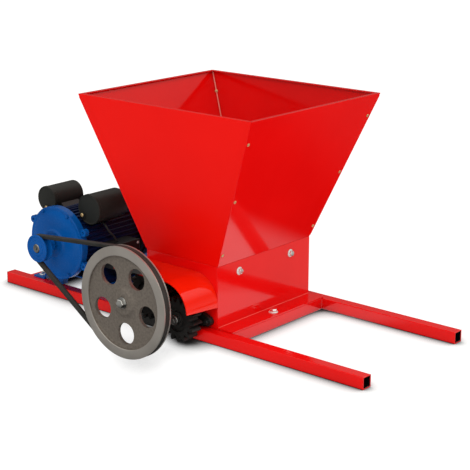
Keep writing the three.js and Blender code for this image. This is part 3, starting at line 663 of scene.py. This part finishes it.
def dress_cad():
    """Gives each CAD node that stays its finish, and rounds the edges of sheet and tube."""
    finishes = {
        "red_powder_coat": RED, "blue_paint": BLUE, "black_paint": BLACK, "black_plastic": PLASTIC,
        "capacitor_shell": CAN, "black_rubber": RUBBER, "pulley_iron": PULLEY, "dark_iron": GEAR,
        "roller_aluminium": CAST, "winding_steel": COPPER, "zinc_steel": ZINC, "shaft_steel": STEEL,
    }
    # The front plate and the front rail carry painted shade around the gears.
    special = {"front_plate": RED_WITH_SHADE, "rail_front": FRONT_RAIL_RED, "rail_back": RAIL_RED,
               # The motor's feet take the dark copy of the blue enamel, as painted shade.
               "hopper_panel_front": FRONT_RED, "motor_foot_left": SHADED_BLUE, "motor_foot_right": SHADED_BLUE}
    edge = {"rail": 2.0, "cross_tube": 2.0, "motor_cross_tube": 2.0, "side_plate": 0.8,
            "front_plate": 0.6, "back_plate": 0.6, "hopper_panel": 0.4, "motor_base": 1.5,
            "base_leg": 2.0, "motor_foot": 2.0}
    for part in frame["record"]["subparts"]:
        node = NODES[part["node"]]
        for slot in node.material_slots:
            slot.link = "OBJECT"
            slot.material = special.get(part["node"], finishes[part["material_slot"]])
        for prefix, width in edge.items():
            if node.name.startswith(prefix):
                weld = node.modifiers.new("weld", "WELD")
                weld.merge_threshold = 1e-5
                soften(node, width * MM)


# ---- Gear guard ----------------------------------------------------------------------------

GUARD_R = 60 * MM
GUARD_SHEET = 2 * MM
GUARD_CENTRE = Vector((65 * MM, 0, 77.5 * MM))
GUARD_RISE = 7 * MM


def make_gear_guard():
    """A sheet over the gears and down their right side, whose lower edge rises to the front."""
    low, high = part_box("gear_guard")
    steps = 40
    outer = [(low.x, GUARD_CENTRE.z + GUARD_R)]
    inner = [(low.x, GUARD_CENTRE.z + GUARD_R - GUARD_SHEET)]
    for step in range(steps + 1):
        angle = math.pi / 2 * (1 - step / steps)
        for line, radius in ((outer, GUARD_R), (inner, GUARD_R - GUARD_SHEET)):
            x = GUARD_CENTRE.x + radius * math.cos(angle)
            line.append((x, GUARD_CENTRE.z + radius * math.sin(angle)))
    outer.append((GUARD_CENTRE.x + GUARD_R, low.z))
    inner.append((GUARD_CENTRE.x + GUARD_R - GUARD_SHEET, low.z))
    made = prism(outer + inner[::-1], low.y, high.y)
    for vertex in made.verts:
        if vertex.co.z < low.z + 0.1 * MM and vertex.co.y < low.y + 0.1 * MM:
            vertex.co.z += GUARD_RISE
    piece = to_object("gear_guard_sheet", made, GUARD_RED, bevel=0.6 * MM)
    place(piece, "machine", "red_powder_coat", "gear_guard")


# ---- Hopper and frame details --------------------------------------------------------------

SIDES = (("right", 1), ("left", -1))
ENDS = (("front", -1), ("back", 1))
# Where the side plates' outer faces are on X.
PLATE_FACES = {
    "right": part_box("side_plate_right")[0].x + SIDE_SHEET,
    "left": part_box("side_plate_left")[1].x - SIDE_SHEET,
}
# The hopper's outer planes: its centre on X, and half its size on X and Y and its height at the
# knee and at the rim.
HOPPER_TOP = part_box("hopper_panel_right")[1]
HOPPER_X = (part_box("hopper_panel_left")[0].x + HOPPER_TOP.x) / 2
KNEE = (PLATE_FACES["right"] - HOPPER_X, -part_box("front_plate")[0].y)
KNEE_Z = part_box("side_plate_right")[1].z
RIM_HALF = (HOPPER_TOP.x - HOPPER_X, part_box("hopper_panel_back")[1].y)
RIM_Z = HOPPER_TOP.z
SCREW_HEIGHTS = (0.183, 0.306, 0.430)
CORNER_SCREW_SHARE = 0.86


def by_corner(side, end, share, shift_x, shift_y):
    """A point by a corner of the hopper, at a share of the way from the knee up to the rim."""
    x = side * (KNEE[0] + share * (RIM_HALF[0] - KNEE[0]) + shift_x)
    y = end * (KNEE[1] + share * (RIM_HALF[1] - KNEE[1]) + shift_y)
    return Vector((HOPPER_X + x, y, KNEE_Z + share * (RIM_Z - KNEE_Z)))


def make_hopper_screws():
    """Three screws down each upright edge of the two side panels."""
    slope = (RIM_HALF[0] - KNEE[0]) / (RIM_Z - KNEE_Z)
    inset = {"front": -7 * MM, "back": -8 * MM}
    for side_name, side in SIDES:
        outward = Vector((side, 0, -slope)).normalized()
        for end_name, end in ENDS:
            for level, z in enumerate(SCREW_HEIGHTS):
                share = (z - KNEE_Z) / (RIM_Z - KNEE_Z)
                pan_screw(f"hopper_screw_{side_name}_{end_name}_{level}",
                          by_corner(side, end, share, 0, inset[end_name]), outward, 3.4)


def make_corner_folds():
    """The side panels' folded edges: a bead down each outer corner, and a pale pink bead inside it that is a
    painted highlight.
    """
    beads = (("outer", -0.3 * MM, 1.1 * MM, RED), ("inner", -4.9 * MM, 1.5 * MM, EDGE_HIGHLIGHT))
    shares = [0.012 + 0.97 * step / 4 for step in range(5)]
    screw_inset = -5.5 * MM
    for side_name, side in SIDES:
        for end_name, end in ENDS:
            for face_name, inset, radius, paint in beads:
                points = [by_corner(side, end, share, inset, inset) for share in shares]
                fold = tube(f"corner_fold_{side_name}_{end_name}_{face_name}", points, radius, paint)
                place(fold, "machine", "red_powder_coat")
            seat = by_corner(side, end, CORNER_SCREW_SHARE, screw_inset, screw_inset)
            pan_screw(f"corner_screw_{side_name}_{end_name}", seat, (-side, -end, 0.3), 3.6)


def make_box_bolts():
    """The bolts through the side plates and through the plates' feet."""
    for end_name, _ in ENDS:
        low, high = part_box(f"hopper_bolt_{end_name}")
        for side_name, side in SIDES:
            seat = Vector((PLATE_FACES[side_name], (low.y + high.y) / 2, (low.z + high.z) / 2))
            bolt = hex_bolt(f"side_bolt_{side_name}_{end_name}", seat, (side, 0, 0), 11, 5.4,
                            (8.5, 1.6), shank=11)
            if side_name == "right":
                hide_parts(f"hopper_bolt_{end_name}")
    for side_name in ("left", "right"):
        low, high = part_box(f"frame_bolt_{side_name}")
        seat = Vector(((low.x + high.x) / 2, 0, FOOT_TOP))
        bolt = hex_bolt(f"foot_bolt_{side_name}", seat, (0, 0, 1), 14, 6, (10, 1.8), shank=14)
        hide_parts(f"frame_bolt_{side_name}")


def make_foot_folds():
    """A painted highlight along the bend between each side plate and its foot."""
    half_length = 149 * MM
    for side_name, side in reversed(SIDES):
        x = PLATE_FACES[side_name] + side * 0.4 * MM
        ends = [Vector((x, y, FOOT_TOP + 0.2 * MM)) for y in (-half_length, half_length)]
        place(tube(f"foot_fold_{side_name}", ends, 0.8 * MM, BEND_HIGHLIGHT), "machine", "red_powder_coat")


def make_welds():
    """Short weld beads where the cross tubes meet the rails."""
    for node in ("cross_tube_left", "cross_tube_right", "motor_cross_tube"):
        low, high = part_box(node)
        for end_name, end in ENDS:
            y = end * (RAIL_Y - TUBE_HALF - 0.2 * MM)
            for face_name, x in (("a", low.x), ("b", high.x)):
                points = []
                for step in range(9):
                    z = (3 + 19 * step / 8) * MM
                    wave = 0.4 * MM * math.sin(2.4 * step)
                    points.append(Vector((x, y - end * 0.4 * MM + wave * 0.5, z + wave)))
                bead = tube(f"weld_{node}_{end_name}_{face_name}", points, 1.3 * MM, RED)
                place(bead, "machine", "red_powder_coat")


# ---- Bearings, gears and shafts ------------------------------------------------------------

GEAR_MODULE = 5.0
PRESSURE = math.radians(20)
DRIVE_TEETH = 19
DRIVEN_TEETH = 17


def gear_outline(teeth, turn, centre):
    """Points of an involute gear whose first tooth points along the angle turn."""
    pitch = GEAR_MODULE * teeth / 2
    base = pitch * math.cos(PRESSURE)
    root = pitch - 1.25 * GEAR_MODULE
    tip = pitch + 0.95 * GEAR_MODULE
    backlash = 0.3 / pitch

    def involute(angle):
        return math.tan(angle) - angle

    def half_angle(radius):
        pressed = math.acos(min(1, base / radius))
        return math.pi / (2 * teeth) - backlash + involute(PRESSURE) - involute(pressed)

    start = max(base, root + 0.5)
    radii = [root] + [start + (tip - start) * (step / 7) for step in range(8)]
    points = []
    for tooth in range(teeth):
        middle = turn + 2 * math.pi * tooth / teeth
        for sign, order in ((-1, radii), (1, radii[::-1])):
            for radius in order:
                angle = middle + sign * half_angle(radius)
                x = centre.x + radius * MM * math.cos(angle)
                points.append((x, centre.z + radius * MM * math.sin(angle)))
    return points


def make_gear(name, node, teeth, turn, centre, body):
    low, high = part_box(node)
    piece = to_object(name, prism(gear_outline(teeth, turn, centre), low.y, high.y), GEAR)
    front = low.y / MM
    back = high.y / MM
    recess = lathe([(16, front - 1), (27, front - 1), (25.5, front + 4), (17.5, front + 4),
                    (16, front - 1)], centre, 64)
    cut_with(piece, to_object("recess", recess, GEAR))
    bore = lathe([(0, front - 1), (10.3, front - 1), (10.3, back + 1), (0, back + 1)], centre, 48)
    cut_with(piece, to_object("bore", bore, GEAR))
    soften(piece, 0.5 * MM, 2)
    smooth_shade(piece, 30)
    place(piece, body, "dark_iron", node)


def make_gears():
    towards = math.atan2(DRIVEN.z - DRIVE.z, DRIVEN.x - DRIVE.x)
    opposite = towards + math.pi + math.pi / DRIVEN_TEETH
    make_gear("drive_gear_wheel", "drive_gear", DRIVE_TEETH, towards, DRIVE, "drive_roller_set")
    make_gear("driven_gear_wheel", "driven_gear", DRIVEN_TEETH, opposite, DRIVEN, "driven_roller_set")


# The bearings' flanges begin at FLANGE_Y, just off the end plates, and are FLANGE thick. LOBE is
# the distance from the shaft to a bolt.
FLANGE_Y = 151.3
FLANGE = 11
LOBE = 45 * MM
BEARINGS = (("drive", DRIVE, math.radians(50)), ("driven", DRIVEN, math.radians(-8)))


def bearing_outline(centre, tilt):
    """The two-lobed flange of a bearing, as (x, z) points."""
    body_radius, lobe_radius = 20 * MM, 10 * MM
    lean = math.acos((body_radius - lobe_radius) / LOBE)
    arcs = [
        (LOBE, lobe_radius, -lean, lean),
        (0, body_radius, lean, math.pi - lean),
        (-LOBE, lobe_radius, math.pi - lean, math.pi + lean),
        (0, body_radius, math.pi + lean, 2 * math.pi - lean),
    ]
    points = []
    for shift, radius, start, end in arcs:
        for step in range(17):
            angle = start + (end - start) * step / 16
            x = shift + radius * math.cos(angle)
            z = radius * math.sin(angle)
            points.append((
                centre.x + x * math.cos(tilt) - z * math.sin(tilt),
                centre.z + x * math.sin(tilt) + z * math.cos(tilt),
            ))
    return points


def make_bearings():
    """Four flanged housings with a round nose, and the two bolts of each."""
    nose = ((15.4, 3), (19.5, 5), (19.5, 20), (18.5, 24), (15.4, 24), (15.4, 3))
    for shaft, centre, tilt in BEARINGS:
        for end_name, end in ENDS:
            name = f"{shaft}_bearing_{end_name}"
            face = end * (FLANGE_Y + FLANGE) * MM
            made = prism(bearing_outline(centre, tilt), end * FLANGE_Y * MM, face)
            lathe([(radius, end * (FLANGE_Y + rise)) for radius, rise in nose], centre, 48, into=made)
            piece = to_object(name + "_housing", made, GEAR, bevel=1.2 * MM)
            place(piece, "machine", "dark_iron", name)
            for lobe_name, lobe in (("a", LOBE), ("b", -LOBE)):
                along = Vector((math.cos(tilt), 0, math.sin(tilt))) * lobe
                hex_bolt(f"{name}_bolt_{lobe_name}", Vector((centre.x, face, centre.z)) + along,
                         (0, end, 0), 10, 4.5, (7.5, 1.2), paint=GEAR)


def make_shaft_ends():
    low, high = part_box("driven_shaft")
    front, back = low.y / MM, high.y / MM
    turned = lathe([(0, front), (9, front), (10, front + 1), (10, back - 1), (9, back), (0, back)],
                   DRIVEN, 48)
    shaft = to_object("driven_shaft_turned", turned, STEEL)
    place(shaft, "driven_roller_set", "shaft_steel", "driven_shaft")
    hub = lathe([(10.2, -179), (17, -179), (18, -178.4), (18, -176.6), (17, -176), (10.2, -176),
                 (10.2, -179)], DRIVEN, 48)
    place(to_object("driven_gear_hub", hub, GEAR, sharp=35), "driven_roller_set", "dark_iron")
    # The shaft's end bolt takes the darker steel.
    hex_bolt("driven_shaft_bolt", Vector((DRIVEN.x, low.y, DRIVEN.z)), (0, -1, 0), 13, 5, (9.5, 1.5),
             body="driven_roller_set", paint=DARK_STEEL)


# ---- Large pulley and belt -----------------------------------------------------------------

# These sizes are in millimetres, and FIRST_HOLE in degrees.
PULLEY_R = 118
PULLEY_WIDTH = 20
PULLEY_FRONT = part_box("large_pulley")[0].y / MM
PULLEY_BACK = PULLEY_FRONT + PULLEY_WIDTH
BELT_Y = PULLEY_FRONT + PULLEY_WIDTH / 2
BELT_WIDTH = 12.4
BELT_HEIGHT = 8
BELT_SINK = 0.5
MOTOR_PULLEY_R = 30
HOLE_COUNT = 5
HOLE_R = 22.5
HOLE_CIRCLE = 66
FIRST_HOLE = -87
BRIGHT_RIM_R = 97.6


def groove(rim):
    """The V-groove of a rim, from front to back."""
    top = BELT_WIDTH / 2 + 0.4
    bottom = top - 2.8
    depth = BELT_HEIGHT + BELT_SINK + 1.5
    return [(rim, BELT_Y - top), (rim - depth, BELT_Y - bottom), (rim - depth, BELT_Y + bottom),
            (rim, BELT_Y + top)]


def make_large_pulley():
    front, back = PULLEY_FRONT, PULLEY_BACK
    blank = to_object("large_pulley_iron", lathe([
        (10.3, front + 1.6), (23, front + 1.6), (26.5, front + 2.6), (30.5, front + 6.2),
        (36, front + 7), (88, front + 6.8), (95, front + 6.4), (97.2, front + 5.4),
        (98, front + 1.2), (99, front + 0.4), (115, front + 0.2), (PULLEY_R, front + 1),
        *groove(PULLEY_R), (PULLEY_R, back - 1), (116, back),
        (98, back), (95, back - 4), (90, back - 6), (36, back - 6), (32, back - 4), (29, back + 4),
        (10.3, back + 4), (10.3, front + 1.6),
    ], DRIVE, 192), PULLEY)
    holes = bmesh.new()
    for hole in range(HOLE_COUNT):
        middle = polar(DRIVE, HOLE_CIRCLE, FIRST_HOLE + 360 / HOLE_COUNT * hole, 0)
        lathe([(0, front - 5), (HOLE_R, front - 5), (HOLE_R, back + 5), (0, back + 5)], middle, 64,
              into=holes)
    cut_with(blank, to_object("spoke_holes", holes, PULLEY))
    key = slab((DRIVE.x - 3.3 * MM, (front - 3) * MM, DRIVE.z + 6 * MM),
               (DRIVE.x + 3.3 * MM, (back + 6) * MM, DRIVE.z + 13.3 * MM))
    cut_with(blank, to_object("keyway", key, PULLEY))
    blank.data.materials.append(RIM)
    for polygon in blank.data.polygons:
        middle = polygon.center - DRIVE
        if math.hypot(middle.x, middle.z) > BRIGHT_RIM_R * MM:
            polygon.material_index = 1
    soften(blank, 0.7 * MM)
    smooth_shade(blank, 35)
    place(blank, "drive_roller_set", "pulley_iron", "large_pulley")


def make_pulley_bolt():
    seat_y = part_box("pulley_washer")[1].y
    seat = Vector((DRIVE.x, seat_y, DRIVE.z))
    bolt = hex_bolt("pulley_centre_bolt", seat, (0, -1, 0), 17, 6.8, (12.5, 2.5),
                    body="drive_roller_set", shank=22, washer_paint=STEEL)
    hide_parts("pulley_bolt", "pulley_washer")


def make_motor_pulley():
    front, back = PULLEY_FRONT, PULLEY_BACK
    rim = MOTOR_PULLEY_R
    piece = to_object("motor_pulley_turned", lathe([
        (9.8, front), (15.5, front), (16.5, front + 0.8), (17.5, front + 2), (24.5, front + 2),
        (25.5, front + 0.8), (26.5, front), (rim - 1, front), (rim, front + 1), *groove(rim),
        (rim, back), (20, back), (20, back + 6), (9.8, back + 6), (9.8, front),
    ], MOTOR, 96), BLUE, bevel=0.4 * MM)
    place(piece, "motor_rotor", "blue_paint", "motor_pulley")
    shaft_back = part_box("motor_shaft")[1].y / MM
    shaft = to_object("motor_shaft_turned", lathe([
        (0, front + 3), (2.2, front + 3), (3.4, front - 0.6), (8.5, front - 1), (9.5, front),
        (9.5, -45), (8, -45), (8, shaft_back), (0, shaft_back),
    ], MOTOR, 64), STEEL)
    place(shaft, "motor_rotor", "shaft_steel", "motor_shaft")
    collar = lathe([(9.6, -248), (12.5, -248), (14, -246.5), (14, -235), (12.5, -233.4), (9.6, -233.4),
                    (9.6, -248)], MOTOR, 64)
    place(to_object("shaft_slinger", collar, BLUE, sharp=35), "motor_rotor", "blue_paint")


def belt_stations():
    """Centre, radius and angle along the loop: round the large pulley, then the small one."""
    large = (DRIVE, PULLEY_R - BELT_SINK)
    small = (MOTOR, MOTOR_PULLEY_R - BELT_SINK)
    gap = MOTOR - DRIVE
    along = math.atan2(gap.z, gap.x)
    spread = math.acos((large[1] - small[1]) * MM / math.hypot(gap.x, gap.z))
    stations = []
    arcs = (
        (large, along + spread, along - spread + 2 * math.pi, 120),
        (small, along - spread, along + spread, 48),
    )
    for (centre, radius), start, end, steps in arcs:
        turn = (end - start) / steps
        stations += [(centre, radius, start + turn * step) for step in range(steps + 1)]
    return stations


def make_belt():
    half = BELT_WIDTH / 2
    foot = half - 2.4
    section = [(0, -half + 0.7), (0, half - 0.7), (-0.25, half - 0.15), (-0.8, half - 0.05),
               (-BELT_HEIGHT + 0.6, foot), (-BELT_HEIGHT, foot - 0.6), (-BELT_HEIGHT, -foot + 0.6),
               (-BELT_HEIGHT + 0.6, -foot), (-0.8, -half + 0.05), (-0.25, -half + 0.15)]
    made = bmesh.new()
    rings = []
    for centre, radius, angle in belt_stations():
        rings.append([made.verts.new(polar(centre, radius + rise, math.degrees(angle), BELT_Y + side))
                      for rise, side in section])
    for one, other in zip(rings, rings[1:] + rings[:1]):
        join_rings(made, one, other)
    place(to_object("v_belt_loop", made, RUBBER, sharp=50), "machine", "black_rubber", "v_belt")


# ---- Motor ---------------------------------------------------------------------------------


def make_front_shield():
    made = lathe([
        (10.2, -229.4), (10.2, -230.9), (20, -230.9), (21, -230.4), (24, -230.4), (25, -231),
        (29, -231), (30.4, -230), (32, -227.6), (34, -226.4), (45, -225.8), (56, -224.8),
        (63, -223.6), (68.5, -221.9), (71, -220.6), (73, -220), (74, -220.3), (78.6, -220.3),
        (80, -219), (80, -204), (79.4, -203), (66, -203), (65, -213), (54, -217), (34, -217),
        (22, -217), (22, -229.4), (10.2, -229.4),
    ], MOTOR, 144)
    piece = to_object("end_shield_casting", made, BLUE, sharp=30)
    place(piece, "machine", "blue_paint", "end_shield_front")
    for number, degrees in enumerate((24, 153, 207, 333)):
        lug = lathe([(2.8, -216), (7.6, -216), (8.4, -215.2), (8.4, -204.8), (7.6, -204), (2.8, -204),
                     (2.8, -216)], polar(MOTOR, 86, degrees, 0), 40)
        place(to_object(f"shield_lug_{number}", lug, BLUE, bevel=0.4 * MM), "machine", "blue_paint")
        neck = bmesh.new()
        outward = polar(MOTOR, 81, degrees, -210)
        turn = Matrix.Rotation(-math.radians(degrees), 4, "Y")
        size = Matrix.Diagonal((8 * MM, 11 * MM, 13 * MM, 1))
        bmesh.ops.create_cube(neck, size=1, matrix=Matrix.Translation(outward) @ turn @ size)
        place(to_object(f"shield_neck_{number}", neck, BLUE, bevel=1.5 * MM), "machine", "blue_paint")
    for number, degrees in enumerate((60, 120, 240, 300)):
        seat = polar(MOTOR, 75.5, degrees, -220.3)
        hex_bolt(f"shield_bolt_{number}", seat, (0, -1, 0), 7, 3.6, (4.4, 0.6), slot="blue_paint",
                 paint=BLUE)


def make_motor_barrel():
    """The finned barrel: ribs with round tips between the two end shields."""
    low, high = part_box("motor_body")
    ribs = 44
    points = []
    for rib in range(ribs):
        middle = 2 * math.pi * rib / ribs
        for radius, turn in ((66.6, -0.052), (67, -0.026), (70.3, -0.02), (71, -0.009), (71, 0.009),
                             (70.3, 0.02), (67, 0.026), (66.6, 0.052)):
            edge = polar(MOTOR, radius, math.degrees(middle + turn), 0)
            points.append((edge.x, edge.z))
    # The barrel takes the dark copy of the blue enamel, as painted shade.
    barrel = to_object("motor_barrel", prism(points, low.y, high.y), SHADED_BLUE)
    front, back = low.y / MM, high.y / MM
    bore = lathe([(0, front - 5), (64.3, front - 5), (64.3, back + 5), (0, back + 5)], MOTOR, 96)
    cut_with(barrel, to_object("barrel_bore", bore, SHADED_BLUE))
    smooth_shade(barrel, 40)
    place(barrel, "machine", "blue_paint", "motor_body")


def make_fan_cover():
    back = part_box("fan_cover")[1].y / MM
    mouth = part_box("fan_cover")[0].y / MM
    cover = to_object("fan_cover_shell", lathe([
        (0, back), (0, back - 1.5), (62, back - 1.5), (70, back - 5), (76, back - 12), (78.5, -5),
        (78.5, mouth), (80, mouth), (80, -5), (77.6, back - 12), (71, back - 3.5), (63, back),
        (0, back),
    ], MOTOR, 96), BLACK)
    slots = bmesh.new()
    for slot in range(16):
        turn = Matrix.Translation(MOTOR) @ Matrix.Rotation(2 * math.pi * slot / 16, 4, "Y")
        outward = Matrix.Translation((40 * MM, back * MM, 0))
        size = Matrix.Diagonal((36 * MM, 14 * MM, 5 * MM, 1))
        bmesh.ops.create_cube(slots, size=1, matrix=turn @ outward @ size)
    cut_with(cover, to_object("cover_slots", slots, BLACK))
    smooth_shade(cover, 35)
    place(cover, "machine", "black_paint", "fan_cover")


# Each capacitor's clamp screw: its angle and its distance from the can's axis.
CLAMPS = {"run_capacitor": (-90, 19), "start_capacitor": (-142, 24)}


def make_capacitors():
    """Cans with a raised rim at the front, and a clamp tab with a screw over the front face."""
    for node in CLAMPS:
        low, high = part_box(node)
        centre = (low + high) / 2
        radius = (high.x - low.x) / 2 / MM
        front, back = low.y / MM, high.y / MM
        can = to_object(node + "_can", lathe([
            (0, front + 1.2), (radius - 3.2, front + 1.2), (radius - 2.2, front + 0.2),
            (radius - 1, front), (radius - 0.2, front + 0.7), (radius, front + 1.6),
            (radius, front + 7.2), (radius - 0.7, front + 8), (radius - 0.7, back - 3),
            (radius - 1.4, back - 1), (radius - 3, back), (0, back),
        ], centre, 96), CAN, sharp=30)
        place(can, "machine", "capacitor_shell", node)
        angle, reach = CLAMPS[node]
        spot = polar(centre, reach, angle, front - 1)
        tab = slab(spot - Vector((7, 1, 8)) * MM, spot + Vector((7, 0.8, 5)) * MM)
        place(to_object(node + "_tab", tab, BLACK, bevel=0.5 * MM), "machine", "black_paint")
        pan_screw(node + "_screw", spot - Vector((0, 1, 0)) * MM, (0, -1, 0), 4.2)


def make_terminal_box():
    low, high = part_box("terminal_box_lid")
    lid = to_object("terminal_lid", slab(low, high), PLASTIC, bevel=1.6 * MM)
    place(lid, "machine", "black_paint", "terminal_box_lid")
    inset = 7 * MM
    spots = [(y, z) for y in (low.y + inset, high.y - inset) for z in (low.z + inset, high.z - inset)]
    for number, (y, z) in enumerate(spots):
        pan_screw(f"terminal_screw_{number}", Vector((high.x, y, z)), (1, 0, 0), 2.8, ZINC)


# X and Z are measured from the motor's axis. The lead ends inside the terminal box, LEAD_ENTRY
# from its upper right front corner.
LEAD_POINTS = ((66, -150, 44), (76, -150, 42), (86, -146, 27), (92, -134, 9))
LEAD_ENTRY = Vector((-17, 20, -6)) * MM


def make_lead():
    box_low, box_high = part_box("terminal_box")
    entry = Vector((box_high.x, box_low.y, box_high.z)) + LEAD_ENTRY
    points = [Vector((MOTOR.x + x * MM, y * MM, MOTOR.z + z * MM)) for x, y, z in LEAD_POINTS]
    lead = tube("capacitor_lead_sheath", [*points, entry], 2.2 * MM, CABLE)
    place(lead, "machine", "black_rubber", "capacitor_lead")


BASE_BOLT_Y = 140 * MM


def make_base_bolts():
    """The bolts that hold the motor base down, and those in the motor's feet."""
    low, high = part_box("motor_base")
    for side_name, x in (("left", low.x + 14 * MM), ("right", high.x - 14 * MM)):
        for end_name, end in ENDS:
            seat = Vector((x, end * BASE_BOLT_Y, low.z + 4 * MM))
            hex_bolt(f"base_bolt_{side_name}_{end_name}", seat, (0, 0, 1), 10, 5, (8, 1.4))
    for side_name, side in reversed(SIDES):
        low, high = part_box(f"motor_foot_{side_name}")
        x = high.x - 12 * MM if side > 0 else low.x + 12 * MM
        for end_name, y in (("front", low.y + 14 * MM), ("back", high.y - 14 * MM)):
            hex_bolt(f"foot_bolt_{side_name}_{end_name}", Vector((x, y, low.z + 9.4 * MM)), (0, 0, 1),
                     10, 5, (7, 1.2))


# ---- Assembly ------------------------------------------------------------------------------

bpy.context.scene.view_settings.view_transform = "Standard"
make_camera()
make_world()
make_lights()
make_floor()
make_sheen_card()
dress_cad()
make_gear_guard()
make_hopper_screws()
make_corner_folds()
make_box_bolts()
make_foot_folds()
make_welds()
make_gears()
make_bearings()
make_shaft_ends()
make_large_pulley()
make_pulley_bolt()
make_motor_pulley()
make_belt()
make_front_shield()
make_motor_barrel()
make_fan_cover()
make_capacitors()
make_terminal_box()
make_lead()
make_base_bolts()
